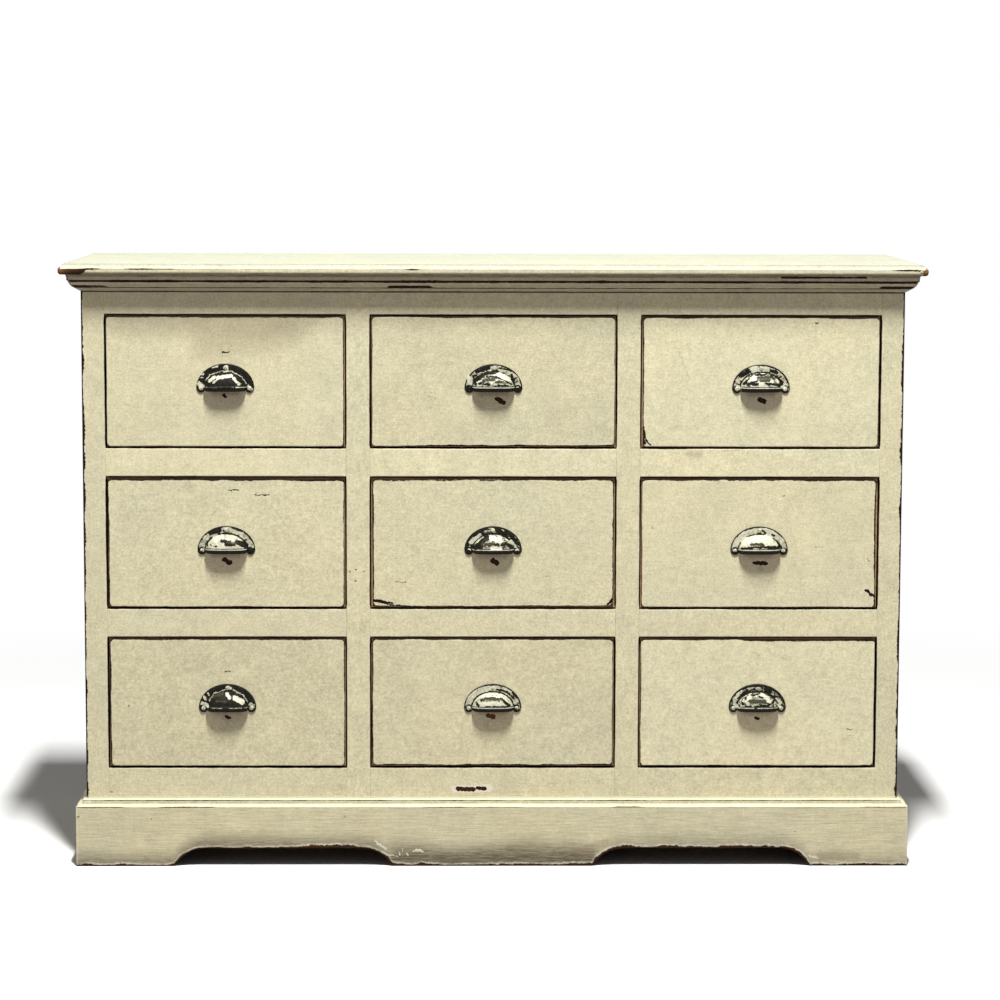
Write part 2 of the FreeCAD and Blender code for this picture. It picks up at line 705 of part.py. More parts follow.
def cup_solid(name, chords, rings, half_width, projection, x, z, run_on=()):
    """A solid of flat facets through level rings given by height and scale, behind which it may run on."""
    plan = cup_plan(chords)
    wide, far = value(half_width), value(projection)
    levels = []
    for height, scale in ((value(height), value(scale)) for height, scale in rings):
        ring = [FreeCAD.Vector(across * wide * scale, -out * far * scale, height) for across, out in plan]
        ring += [FreeCAD.Vector(side * wide * scale, value(back), height) for side, back in run_on]
        levels.append(ring)
    loops = [levels[0], levels[-1]]
    for lower, upper in zip(levels, levels[1:]):
        for step, start in enumerate(lower):
            after = (step + 1) % len(lower)
            loops.append([start, lower[after], upper[after], upper[step]])
    faces = [Part.Face(Part.makePolygon(loop + loop[:1])) for loop in loops]
    solid = Part.Solid(Part.Shell(faces))
    if solid.Volume < 0:
        solid.reverse()
    thing = doc.addObject("Part::Feature", name)
    thing.Shape = solid
    place(thing, x, "Places.front_face", z)
    return thing


def cup_rings(bands, foot, height):
    """A cup's section: its foot rings, then a quarter ellipse up to a small flat crown."""
    rings = list(foot)
    for band in range(1, bands):
        turn = math.radians(90 * band / bands)
        rings.append((f"{math.sin(turn):.5f} * ({height})", f"{math.cos(turn):.5f}"))
    return rings + [(height, f"{CROWN_SHARE}")]


def make_cup_handle(name, x, z, holes):
    """A flange with two round lobes and a hollow cup, open below; z is the level of the two lower screws."""
    wide, tall = "Places.flange_half_width", "Places.flange_height"
    flange = new_body(f"{name}_flange", x, "Places.front_face", z)
    turns = [math.pi * step / FLANGE_CHORDS for step in range(FLANGE_CHORDS + 1)]
    sketch = new_sketch(flange, f"{name}_flange_outline", "XZ_Plane")
    draw_outline(sketch, [(f"{math.cos(t):.5f} * {wide}", f"{math.sin(t):.5f} * {tall}") for t in turns])
    pad(flange, f"{name}_flange_plate", sketch, "Sizes.flange_thickness")
    lobes = [
        pin(f"{name}_{side}_lobe", LOBE_SIDES, "Sizes.lobe_radius", f"{x} {sign} Places.lobe_centre",
            "Places.front_face - Sizes.flange_thickness", z, "Sizes.flange_thickness")
        for side, sign in (("left", "-"), ("right", "+"))
    ]

    lip = "1 + Sizes.lip_thickening / Sizes.cup_projection"
    lip_top = "Sizes.lip_height + Sizes.lip_thickening"
    foot = [("-Sizes.cup_drop", lip), ("Sizes.lip_height", lip), (lip_top, "1")]
    rings = cup_rings(CUP_BANDS, foot, "Sizes.cup_height")
    cup = cup_solid(f"{name}_shell", CUP_CHORDS, rings, "Sizes.cup_half_width", "Sizes.cup_projection", x, z)
    foot = [("-Sizes.cup_drop - Sizes.cutter_overrun", "1"), ("0", "1")]
    rings = cup_rings(HOLLOW_BANDS, foot, "Sizes.cup_height - Sizes.cup_wall")
    run_on = ((1, "Sizes.cutter_overrun"), (-1, "Sizes.cutter_overrun"))
    hollow = cup_solid(
        f"{name}_hollow", HOLLOW_CHORDS, rings, "Sizes.cup_half_width - Sizes.cup_wall",
        "Sizes.cup_projection - Sizes.cup_wall", x, z, run_on,
    )
    solid = doc.addObject("Part::MultiFuse", f"{name}_casting")
    solid.Shapes = [flange, cup] + lobes
    return cut(f"{name}_finished", solid, group(f"{name}_cutters", [hollow] + holes))


def make_drawer(row, column):
    """Front, dovetailed box, cup handle and its three screws."""
    key = f"{row}_{column}"
    centre, width, level = COLUMNS[column]["centre"], COLUMNS[column]["width"], ROWS[row]
    half = f"({width} / 2 - Sizes.drawer_gap)"
    thickness = "Sizes.drawer_side_thickness"
    inner = f"({half} - {thickness})"

    left, right = [
        new_body(f"{key}_{side}_side", x, "Places.front_face", level)
        for side, x in (("left", f"{centre} - {half}"), ("right", f"{centre} + {inner}"))
    ]
    for body in (left, right):
        sketch = new_sketch(body, f"{body.Name}_outline", "YZ_Plane")
        draw_outline(sketch, drawer_side_outline())
        pad(body, f"{body.Name}_board", sketch, thickness)
    groove_half = f"({inner} + Sizes.groove_depth)"
    bottom_start = "(Sizes.drawer_front_thickness - Sizes.groove_depth)"
    bottom = box(
        f"{key}_bottom", f"{centre} - {groove_half}", f"Places.front_face + {bottom_start}",
        f"{level} + Places.drawer_bottom_level", f"2 * {groove_half}",
        f"Places.drawer_length - {bottom_start}", "Sizes.drawer_bottom_thickness",
    )
    back = box(
        f"{key}_back", f"{centre} - {inner}",
        "Places.front_face + Places.drawer_length - Sizes.drawer_back_thickness",
        f"{level} + Places.drawer_back_level", f"2 * {inner}",
        "Sizes.drawer_back_thickness", "Places.drawer_back_height",
    )
    grooved = [cut(f"{body.Name}_grooved", body, bottom) for body in (left, right)]
    keep(group(f"{key}_box_set", grooved + [back, bottom]), f"drawer_box_{key}")

    screw_level = f"{level} + Sizes.opening_height / 2 - Sizes.{row}_handle_drop"
    screws, holes = [], []
    for spot, x, z in (
        ("left", f"{centre} - Places.lobe_centre", screw_level),
        ("right", f"{centre} + Places.lobe_centre", screw_level),
        ("top", centre, f"{screw_level} + Places.top_screw_height"),
    ):
        seat = "Places.front_face - Sizes.flange_thickness"
        head = pin(
            f"{key}_{spot}_head", HEAD_SIDES, "Sizes.screw_head_radius",
            x, f"{seat} - Sizes.screw_head_height", z, "Sizes.screw_head_height",
        )
        shank = pin(
            f"{key}_{spot}_shank", SHANK_SIDES, "Sizes.screw_shank_radius", x, seat, z, "Sizes.screw_length",
        )
        screw = doc.addObject("Part::Fuse", f"{key}_{spot}_screw")
        screw.Base, screw.Tool = head, shank
        screws.append(screw)
        holes.append(pin(
            f"{key}_{spot}_hole", SHANK_SIDES, "Sizes.screw_shank_radius + Sizes.screw_hole_clearance",
            x, f"{seat} - Sizes.cutter_overrun", z,
            "Sizes.screw_length + Sizes.cutter_overrun + Sizes.screw_hole_clearance",
        ))
    keep(group(f"{key}_screw_set", screws), f"handle_screws_{key}")

    front = new_body(f"{key}_front", centre, "Places.front_face", level)
    sketch = new_sketch(front, f"{key}_front_outline", "XZ_Plane")
    low, high = "Sizes.drawer_gap", "Sizes.opening_height - Sizes.drawer_gap"
    draw_outline(sketch, [(f"-{half}", low), (half, low), (half, high), (f"-{half}", high)])
    pad(front, f"{key}_front_board", sketch, "Sizes.drawer_front_thickness", backwards=True)
    corners = edges_where(front, lambda edge: not same(edge.BoundBox.YLength, 0))
    dress(front, "Chamfer", f"{key}_front_corners", corners, "Size", "Sizes.drawer_front_corner")
    rim = edges_where(front, lambda edge: level_edge(edge, "y", 0))
    dress(front, "Chamfer", f"{key}_front_bevel", rim, "Size", "Sizes.drawer_front_bevel")
    tools = group(f"{key}_front_cutters", [left, right, bottom] + holes)
    keep(cut(f"{key}_front_jointed", front, tools), f"drawer_front_{key}")

    keep(make_cup_handle(f"{key}_cup", centre, screw_level, holes), f"cup_handle_{key}")


def check_and_write():
    """Stops on any failed object or bad shape, then writes one STEP file for each sub-part."""
    doc.recompute()
    for thing in doc.Objects:
        if {"Invalid", "Error"} & set(thing.State):
            raise RuntimeError(f"{thing.Label} failed: {thing.State}")
    for thing in pieces:
        if thing.Shape.isNull() or not thing.Shape.isValid():
            raise RuntimeError(f"{thing.Label} has a bad shape")
    os.makedirs("parts", exist_ok=True)
    for thing in pieces:
        thing.Shape.exportStep(f"parts/{thing.Label}.step")
        print(thing.Label, len(thing.Shape.Solids))


make_top_board()
make_cornice()
make_carcase_boards()
make_back_boards()
make_face_frame()
make_drawer_slides()
make_plinth()
make_glue_blocks()
for row in ROWS:
    for column in COLUMNS:
        make_drawer(row, column)
check_and_write()
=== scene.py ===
"""Dresses the bank of drawers: worn cream paint over dark pine, painted iron cups, raw pine inside.

Lengths are in metres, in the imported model's frame: X to the right, Y to the back, Z up.
"""
import math

import bpy
from mathutils import Matrix, Vector, noise


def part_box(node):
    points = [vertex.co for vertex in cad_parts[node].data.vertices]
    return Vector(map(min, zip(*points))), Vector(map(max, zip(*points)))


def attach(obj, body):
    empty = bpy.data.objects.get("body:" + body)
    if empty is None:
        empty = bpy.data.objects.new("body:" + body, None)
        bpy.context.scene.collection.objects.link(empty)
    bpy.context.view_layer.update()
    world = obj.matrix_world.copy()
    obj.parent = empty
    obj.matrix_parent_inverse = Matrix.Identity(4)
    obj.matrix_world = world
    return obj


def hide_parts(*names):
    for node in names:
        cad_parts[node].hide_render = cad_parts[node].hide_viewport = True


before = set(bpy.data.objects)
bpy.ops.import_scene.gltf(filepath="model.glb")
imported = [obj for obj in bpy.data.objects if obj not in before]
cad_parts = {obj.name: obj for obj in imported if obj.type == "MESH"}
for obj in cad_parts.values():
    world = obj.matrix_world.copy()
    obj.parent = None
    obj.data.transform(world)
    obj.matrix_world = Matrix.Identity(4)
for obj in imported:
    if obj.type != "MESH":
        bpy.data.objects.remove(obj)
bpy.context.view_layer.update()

MM = 0.001
# The size of the photograph's pixels on the drawers' faces
PIXEL = 1.565 * MM
ROOT = "carcase"
ROWS = ("top", "middle", "bottom")
COLUMNS = ("left", "centre", "right")
UP = Vector((0, 0, 1))
BACKWARD = Vector((0, 1, 0))

# The camera stands where the photograph was taken from
IMAGE_SIDE = 1000
FOCAL_PIXELS = 3200.3
SENSOR_MM = 36.0
CAMERA_PLACE = Vector((-0.0612, -5.2041, 1.1587))
CAMERA_YAW = math.radians(0.823)
CAMERA_PITCH = math.radians(6.539)
CAMERA_ROLL = math.radians(0.151)


def camera_axes():
    """The camera's right, up and forward directions."""
    flat = math.cos(CAMERA_PITCH)
    forward = Vector((math.sin(CAMERA_YAW) * flat, math.cos(CAMERA_YAW) * flat, -math.sin(CAMERA_PITCH)))
    right = Vector((math.cos(CAMERA_YAW), -math.sin(CAMERA_YAW), 0))
    up = right.cross(forward)
    turn, lean = math.cos(CAMERA_ROLL), math.sin(CAMERA_ROLL)
    return turn * right + lean * up, turn * up - lean * right, forward


def on_plane(x_pixel, y_pixel, y):
    """The X and Z where the sight line through a pixel of the photograph meets the plane at y."""
    right, up, forward = camera_axes()
    middle = IMAGE_SIDE / 2
    ray = forward + right * ((x_pixel - middle) / FOCAL_PIXELS) - up * ((y_pixel - middle) / FOCAL_PIXELS)
    spot = CAMERA_PLACE + ray * ((y - CAMERA_PLACE.y) / ray.y)
    return spot.x, spot.z


def spans_at(spans, row, y):
    """Stretches in pixels along a row of the photograph, as stretches of X on the plane at y."""
    return [[on_plane(x, row, y)[0] for x in span] for span in spans]


def within(x, spans):
    return any(start < x < finish for start, finish in spans)


def make_camera():
    right, up, forward = camera_axes()
    data = bpy.data.cameras.new("camera")
    data.sensor_width = SENSOR_MM
    data.lens = FOCAL_PIXELS * SENSOR_MM / IMAGE_SIDE
    camera = bpy.data.objects.new("camera", data)
    bpy.context.scene.collection.objects.link(camera)
    turn = Matrix((right, up, -forward)).transposed().to_4x4()
    camera.matrix_world = Matrix.Translation(CAMERA_PLACE) @ turn
    bpy.context.scene.camera = camera


# Shader graphs

def srgb(red, green, blue):
    """A colour as it reads on the screen, from 0 to 255, as the renderer's linear one."""
    def linear(level):
        share = level / 255
        return share / 12.92 if share <= 0.04045 else ((share + 0.055) / 1.055) ** 2.4

    return linear(red), linear(green), linear(blue), 1.0


class Level:
    """A node's output; plus, minus and times add the node that does the sum."""

    def __init__(self, graph, socket):
        self.graph, self.socket = graph, socket

    def __add__(self, other):
        return self.graph.math("ADD", self, other)

    def __sub__(self, other):
        return self.graph.math("SUBTRACT", self, other)

    def __mul__(self, other):
        return self.graph.math("MULTIPLY", self, other)


class Graph:
    """Short calls that add linked nodes to a tree; an input is a Level or a plain value."""

    def __init__(self, tree):
        self.tree = tree

    def add(self, kind, inputs=(), **settings):
        """A new node; its inputs are listed in order, or named or numbered."""
        node = self.tree.nodes.new(f"ShaderNode{kind}")
        for name, setting in settings.items():
            setattr(node, name, setting)
        for key, source in inputs.items() if isinstance(inputs, dict) else enumerate(inputs):
            if source is not None:
                self.feed(node.inputs[key], source)
        return node

    def feed(self, slot, source):
        if isinstance(source, Level):
            self.tree.links.new(source.socket, slot)
        else:
            slot.default_value = source

    def level(self, kind, inputs=(), output=0, **settings):
        return Level(self, self.add(kind, inputs, **settings).outputs[output])

    def math(self, operation, first, second):
        return self.level("Math", (first, second), operation=operation)

    def most(self, first, *others):
        """The largest of several levels."""
        for level in others:
            first = self.math("MAXIMUM", first, level)
        return first

    def vector(self, operation, first, second=None, scale=None):
        output = "Value" if operation in ("LENGTH", "DOT_PRODUCT") else "Vector"
        inputs = {0: first, 1: second, "Scale": scale}
        return self.level("VectorMath", inputs, output, operation=operation)

    def step(self, level, low, high, start=0.0, end=1.0):
        """A smooth step from start at low to end at high."""
        return self.level("MapRange", (level, low, high, start, end), interpolation_type="SMOOTHSTEP")

    def noise(self, where, scale, detail=3.0, roughness=0.55, distortion=0.0, colour=False):
        inputs = {"Vector": where, "Scale": scale, "Detail": detail}
        inputs.update(Roughness=roughness, Distortion=distortion)
        return self.level("TexNoise", inputs, "Color" if colour else "Fac")

    def seen_rays(self):
        """1 for rays that show what is behind the object: the camera's, a reflection's, one through glass."""
        path = self.add("LightPath")
        return self.most(*(
            Level(self, path.outputs[f"Is {kind} Ray"]) for kind in ("Camera", "Glossy", "Transmission")
        ))


class Finish(Graph):
    """The graph of a new material."""

    def __init__(self, name):
        self.material = bpy.data.materials.new(name)
        self.material.use_nodes = True
        super().__init__(self.material.node_tree)
        self.place = self.level("TexCoord", output="Object")

    def blend(self, share, first, second):
        """Mixes two colours, each a Level or a colour as it reads on the screen."""
        first, second = (srgb(*tint) if isinstance(tint, tuple) else tint for tint in (first, second))
        return self.level("Mix", {0: share, 6: first, 7: second}, 2, data_type="RGBA")

    def attribute(self, name):
        return self.level("Attribute", output="Fac", attribute_name=name)

    def stretched(self, scales, source=None):
        """Coordinates scaled by axis."""
        return self.vector("MULTIPLY", source or self.place, scales)

    def moved(self, offset, share):
        """The place, moved by a share of the offset."""
        return self.vector("ADD", self.place, self.vector("SCALE", offset, scale=share))

    def shaken(self, scale, reach):
        """The place, moved about by noise, which makes the outlines drawn from it ragged."""
        push = self.noise(self.place, scale, 4.0, 0.7, colour=True)
        return self.moved(self.vector("SUBTRACT", push, (0.5, 0.5, 0.5)), reach)

    def away_from(self, where, start, end):
        """The distance from the line between start and end."""
        start, end = Vector(start), Vector(end)
        run = end - start
        reach = max(run.length_squared, 1e-10)
        offset = self.vector("SUBTRACT", where, tuple(start))
        along = self.math("DIVIDE", self.vector("DOT_PRODUCT", offset, tuple(run)), reach)
        held = self.math("MINIMUM", self.math("MAXIMUM", along, 0.0), 1.0)
        nearest = self.vector("SCALE", tuple(run), scale=held)
        return self.vector("LENGTH", self.vector("SUBTRACT", offset, nearest))

    def finish(self, colour, roughness, height, shine=0.4):
        """Feeds the shader; height is in millimetres."""
        shader = self.tree.nodes["Principled BSDF"]
        for name, source in (
            ("Base Color", colour), ("Roughness", roughness), ("Specular IOR Level", shine),
            ("Normal", self.level("Bump", {"Distance": MM, "Height": height})),
        ):
            self.feed(shader.inputs[name], source)
        return self.material


# Light

KEY_PLACE = Vector((0.12, -2.2, 5.4))
KEY_AIM = Vector((0, -0.2, 0.5))
KEY_WIDTH = 0.25
KEY_LENGTH = 1.2
KEY_POWER = 492
FILL_STRENGTH = 0.18
WHITE = (1, 1, 1, 1)
FLOOR_COLOUR = (150, 140, 141)
FLOOR_SEEN = (246, 246, 244)
FLOOR_SIDE = 14.0
FLOOR_FADE_START = 1.0
FLOOR_FADE_END = 2.6


def make_lights():
    """A long, narrow lamp above and in front, and an even surround that shows white behind the object."""
    lamp = bpy.data.lights.new("key", "AREA")
    lamp.shape = "RECTANGLE"
    lamp.size = KEY_WIDTH
    lamp.size_y = KEY_LENGTH
    lamp.energy = KEY_POWER
    key = bpy.data.objects.new("key", lamp)
    key.location = KEY_PLACE
    key.rotation_euler = (KEY_AIM - KEY_PLACE).to_track_quat("-Z", "Y").to_euler()
    scene = bpy.context.scene
    scene.collection.objects.link(key)

    scene.world = bpy.data.worlds.new("surround")
    scene.world.use_nodes = True
    scene.world.node_tree.nodes.clear()
    g = Graph(scene.world.node_tree)
    soft, white = (g.level("Background", (WHITE, strength)) for strength in (FILL_STRENGTH, 1))
    g.add("OutputWorld", [g.level("MixShader", (g.seen_rays(), soft, white))])
    scene.view_settings.view_transform = "Standard"


def make_floor():
    """A pale floor that keeps the object's shadow and turns into the white surround further out."""
    half = FLOOR_SIDE / 2
    mesh = bpy.data.meshes.new("floor")
    corners = [(-half, -half, 0), (half, -half, 0), (half, half, 0), (-half, half, 0)]
    mesh.from_pydata(corners, [], [(0, 1, 2, 3)])
    floor = bpy.data.objects.new("floor", mesh)
    bpy.context.scene.collection.objects.link(floor)
    material = bpy.data.materials.new("floor_finish")
    material.use_nodes = True
    material.node_tree.nodes.clear()
    g = Graph(material.node_tree)
    plain, near = (g.level("BsdfDiffuse", [srgb(*tint)]) for tint in (FLOOR_COLOUR, FLOOR_SEEN))
    distance = g.vector("LENGTH", g.level("TexCoord", output="Object"))
    fade = g.step(distance, FLOOR_FADE_START, FLOOR_FADE_END)
    shown = g.level("MixShader", (fade, near, g.level("Emission", (WHITE, 1))))
    g.add("OutputMaterial", [g.level("MixShader", (g.seen_rays(), plain, shown))])
    mesh.materials.append(material)


# Painted wood

CREAMS = ((216, 210, 174), (219, 211, 172), (210, 206, 172))
# The top face's paint, a darker and greyer copy of the creams: painted shade that offsets the strong light on
# the top
TOP_CREAMS_DIMMED = ((181, 181, 158), (184, 182, 156), (177, 177, 157))
# Dirt, and painted shade where it darkens the shaded cornice and the rounded underside of the top board's
# front edge
DIRT_AND_SHADE = (90, 81, 62)
STAIN = (186, 178, 142)
PALE_CREAM = (233, 229, 208)
DARK_BROWN = (30, 20, 13)
OLD_BROWN = (84, 56, 36)
BARE_WOOD = (168, 112, 62)
GREY_BROWN = (118, 98, 74)

# Tint, strength and softness of each kind of mark in the paint. Some are painted light and shade: shade is
# painted shadow, grime adds painted shade to the finger grime under the cups, line is a painted shadow line
# and pale a painted highlight
MARK_KINDS = {
    "scratch": (STAIN, 0.8, 0.5 * MM), "nick": (PALE_CREAM, 0.85, 0.4 * MM),
    "flake": (DARK_BROWN, 1.0, 0.35 * MM), "red": (DARK_BROWN, 1.0, 0.35 * MM),
    "orange": (OLD_BROWN, 1.0, 0.35 * MM), "smudge": (GREY_BROWN, 0.3, 6.0 * MM),
    "shade": (GREY_BROWN, 0.24, 34.0 * MM), "grime": (GREY_BROWN, 0.5, 10.0 * MM),
    "line": (DARK_BROWN, 1.0, 0.5 * MM), "pale": (PALE_CREAM, 0.6, 0.6 * MM),
}
# Kinds where the paint is gone, with the colour in the middle of the larger ones
CHIP_CORES = {"flake": None, "red": (72, 32, 22), "orange": (118, 68, 30)}
CORE_EDGE = (2.2 * MM, 1.2 * MM)
RIMMED_FROM = 1.2 * MM
RIM_WIDTH = 1.6 * MM

GRAIN_AXES = {"X": (1, 14, 14), "Y": (14, 1, 14), "Z": (14, 14, 1)}


def painted_wood(name, along, grain=1.0, marks=(), creams=CREAMS, level=1.0, uneven=1.0, speckle=1.0):
    """Cream paint with brush strokes, stains, worn edges that show dark wood, and listed marks."""
    plain, warm, cool = creams
    g = Finish(name)
    shifted = g.moved((3.1, 5.7, 4.3), g.attribute("board"))
    brushed = g.stretched(GRAIN_AXES[along], shifted)

    clouds = g.step(g.noise(shifted, 5.0, 4.0, 0.6), 0.35, 0.65)
    colour = g.blend(0.45, g.blend(clouds, warm, cool), plain)
    strokes = g.noise(brushed, 28.0, 5.0, 0.7, 0.25)
    veins = g.math("PINGPONG", g.noise(brushed, 7.0, 2.0, 0.5, 1.6) * 7.0, 0.5)
    fine = g.noise(shifted, 300.0, 3.0, 0.75)
    mottle = g.noise(shifted, 90.0, 4.0, 0.75)
    smears = g.noise(shifted, 24.0, 5.0, 0.65, 0.3)
    tone = (strokes - 0.5) * (0.2 * grain) + (veins - 0.25) * (0.1 * grain)
    tone = tone + (fine - 0.5) * (0.95 * speckle) + (mottle - 0.5) * (0.55 * speckle) + (smears - 0.5) * 0.35
    stained = g.step(g.noise(shifted, 11.0, 6.0, 0.68, 0.4), 0.6, 0.78, 0.0, 0.45)
    colour = g.vector("SCALE", g.blend(stained, colour, STAIN), scale=tone + level)
    # Dirt mixed in where the points ask for it; on the cornice and under the top board's edge it is painted
    # shade
    smeared = g.step(g.noise(brushed, 45.0, 4.0, 0.7, 0.6), 0.32, 0.62, 1.0, 0.62)
    colour = g.blend(g.attribute("dirt") * smeared, colour, DIRT_AND_SHADE)

    # Worn edges: how far the wear reaches in from an arris, less the distance from it
    bare = g.attribute("bare")
    patches = g.noise(shifted, 26.0, 3.0, 0.6)
    ragged = g.noise(shifted, 210.0, 4.0, 0.7)
    reach = g.attribute("wear") * g.step(patches, 0.3, 0.72, 1 - 0.45 * uneven, 1 + 0.55 * uneven)
    reach = reach * g.step(ragged, 0.25, 0.75, 1 - 0.3 * uneven, 1 + 0.3 * uneven)
    over = reach - g.attribute("edge")
    worn = g.step(over, -0.15 * MM, 0.3 * MM)
    # A pale band beside worn edges: the ridge where the paint ends, with a painted highlight where the worn
    # arris catches light
    ridge_and_highlight = g.step(over, -4.2 * MM, -0.8 * MM) * g.step(bare, 0.02, 0.1, 0.25, 1.0)
    ridge_and_highlight = ridge_and_highlight * g.step(mottle, 0.36, 0.62, 0.3, 1.0)
    colour = g.blend(g.step(over, -2.2 * MM, 0.0) * 0.32, colour, STAIN)
    colour = g.blend(ridge_and_highlight * 0.75, colour, PALE_CREAM)
    under = g.blend(g.step(g.noise(brushed, 60.0, 4.0, 0.7), 0.5, 0.74), DARK_BROWN, OLD_BROWN)
    timber = g.blend(g.step(g.noise(brushed, 40.0, 4.0, 0.7), 0.35, 0.7), BARE_WOOD, GREY_BROWN)
    under = g.blend(bare, under, timber)
    colour = g.blend(worn, colour, under)

    # Behind the face the paint runs out within a few millimetres
    unpainted = g.step(g.attribute("depth") + ragged * (2.5 * MM), 2.6 * MM, 4.2 * MM)
    colour = g.blend(unpainted, colour, under)

    # Fine cracks in the paint where two boards meet
    joint = g.attribute("joint") + g.noise(shifted, 90.0, 3.0) * (0.55 * MM)
    crack = g.step(joint, 0.34 * MM, 0.85 * MM, 0.55, 0.0) * g.step(patches, 0.38, 0.6, 0.2, 1.0)
    colour = g.blend(crack, colour, OLD_BROWN)

    # Listed marks
    loose = g.shaken(160.0, 8.5 * MM)
    chips = []
    for kind, start, end, half_width in marks:
        tint, strength, softness = MARK_KINDS[kind]
        away = g.away_from(g.place if kind in ("line", "pale") else loose, start, end)
        if kind in CHIP_CORES and half_width > RIMMED_FROM:
            colour = g.blend(g.step(away, half_width, half_width + RIM_WIDTH, 0.5, 0.0), colour, PALE_CREAM)
        shape = g.step(away, half_width, half_width + softness, 1.0, 0.0)
        colour = g.blend(shape * strength, colour, tint)
        if CHIP_CORES.get(kind):
            start_core, end_core = (half_width - inset for inset in CORE_EDGE)
            colour = g.blend(g.step(away, start_core, end_core, 1.0, 0.0), colour, CHIP_CORES[kind])
        if kind in CHIP_CORES:
            chips.append(shape)

    height = strokes * (0.22 * grain) + fine * 0.05 + mottle * 0.12 - worn * 0.22
    dull = g.most(worn, unpainted)
    if chips:
        gone = g.most(*chips)
        height = height - gone * 0.22
        dull = g.most(dull, gone)
    roughness = g.step(strokes, 0.3, 0.7, 0.5, 0.62) + worn * 0.12
    return g.finish(colour, roughness, height, g.step(dull, 0.0, 1.0, 0.4, 0.06))


# Raw pine

PINE_LIGHT = (203, 170, 122)
PINE_DARK = (165, 122, 78)
PINE_AGED = (138, 108, 76)
KNOT = (92, 56, 32)


def raw_pine(name, along, aged=0.25):
    """Unfinished pine with growth rings, pores and a knot here and there."""
    g = Finish(name)
    shifted = g.moved((7.3, 3.9, 5.1), g.level("NewGeometry", output="Random Per Island"))
    stretched = g.stretched(GRAIN_AXES[along], shifted)
    rings = g.math("PINGPONG", g.noise(stretched, 3.2, 2.0, 0.45, 0.6) * 16.0, 1.0)
    colour = g.blend(g.step(rings, 0.35, 1.0), PINE_LIGHT, PINE_DARK)
    fibres = g.noise(stretched, 120.0, 3.0, 0.7)
    colour = g.blend(g.step(fibres, 0.3, 0.75, 0.0, 0.35), colour, PINE_DARK)
    dulled = g.step(g.noise(shifted, 6.0, 5.0, 0.65), 0.35, 0.7, aged * 0.5, aged * 1.8)
    colour = g.blend(dulled, colour, PINE_AGED)
    places = g.stretched([0.35 if s == 1 else 1 for s in GRAIN_AXES[along]], shifted)
    cells = g.level("TexVoronoi", {"Vector": places, "Scale": 4.5}, "Distance")
    colour = g.blend(g.step(cells, 0.035, 0.075, 1.0, 0.0), colour, KNOT)
    return g.finish(colour, g.step(fibres, 0.3, 0.7, 0.62, 0.78), fibres * 0.14 + rings * 0.05)


# Painted iron

IRON = (12, 13, 9)
IRON_BROWN = (38, 32, 22)
HANDLE_CREAM = (214, 213, 188)
HANDLE_STAIN = (166, 162, 132)
HANDLE_OLIVE = (66, 66, 46)


def painted_iron(name, cover, blobs):
    """Dark iron under brushed cream paint; cover is the share that stays painted.

    The bare attribute favours paint where it is above 0 and iron where it is below.
    """
    g = Finish(name)
    coarse = g.noise(g.place, 95.0, 5.0, 0.72, 0.5)
    streaks = g.noise(g.stretched((1.0, 1.0, 2.6)), 170.0, 4.0, 0.7, 0.3)
    field = coarse * 0.62 + streaks * 0.38 + (0.5 * cover - 0.25) + g.attribute("bare")
    flat = g.vector("MULTIPLY", g.shaken(210.0, 6.0 * MM), (1, 0, 1))
    ragged = (g.noise(g.place, 480.0, 3.0, 0.7) - 0.5) * (3.2 * MM)
    darkened = []
    for kind, start, end, half_width in blobs:
        away = g.away_from(flat, start, end) + ragged
        if kind == "olive":
            darkened.append(g.step(away, half_width - 0.3 * MM, half_width + 0.5 * MM, 1.0, 0.0))
        else:
            push = 0.6 if kind == "cream" else -0.6
            field = field + g.step(away, half_width - 0.5 * MM, half_width + 0.9 * MM, push, 0.0)
    rim = g.attribute("edge") + (g.noise(g.place, 60.0) - 0.5) * (5.0 * MM)
    field = field - g.step(rim, 1.0 * MM, 2.6 * MM, 0.42, 0.0)
    covered = g.step(field, 0.48, 0.51)
    iron = g.blend(g.step(g.noise(g.place, 240.0), 0.4, 0.7), IRON, IRON_BROWN)
    fine = g.noise(g.place, 700.0, 3.0, 0.7)
    dusty = g.step(g.noise(g.place, 150.0, 5.0, 0.75, 0.4), 0.36, 0.62, 0.7, 1.04)
    cream = g.vector("SCALE", srgb(*HANDLE_CREAM)[:3], scale=dusty * g.step(fine, 0.2, 0.8, 0.88, 1.08))
    cream = g.blend(g.step(field, 0.5, 0.62, 0.75, 0.0), cream, HANDLE_STAIN)
    colour = g.blend(covered, iron, cream)
    if darkened:
        colour = g.blend(g.most(*darkened) * 0.85, colour, HANDLE_OLIVE)
    roughness, shine = (g.step(covered, 0.0, 1.0, *ends) for ends in ((0.55, 0.5), (0.12, 0.4)))
    return g.finish(colour, roughness, covered * 0.16 + fine * 0.06, shine)


# Meshes

FLAT_ANGLE = math.radians(32)
RING_STEPS = [0.0, 0.4 * MM, 0.9 * MM, 1.6 * MM, 2.6 * MM, 4.2 * MM, 7.0 * MM, 11.0 * MM, 17.0 * MM]
GRID_STEP = 9.0 * MM
FAR = 1.0


def wobble(*where, scale=1.0, seed=0.0):
    """Smooth noise from -1 to 1 at a place."""
    return noise.noise(Vector((where[0] * scale + seed, where[1] * scale - seed, seed * 1.7)))


def unevenness(most, *where, scale, seed):
    """Half of most on the average, from 0 up to it, wandering with the place."""
    return most / 2 * (1 + wobble(*where, scale=scale, seed=seed))


def smooth_share(level, low, high):
    share = min(max((level - low) / (high - low), 0.0), 1.0)
    return share * share * (3 - 2 * share)


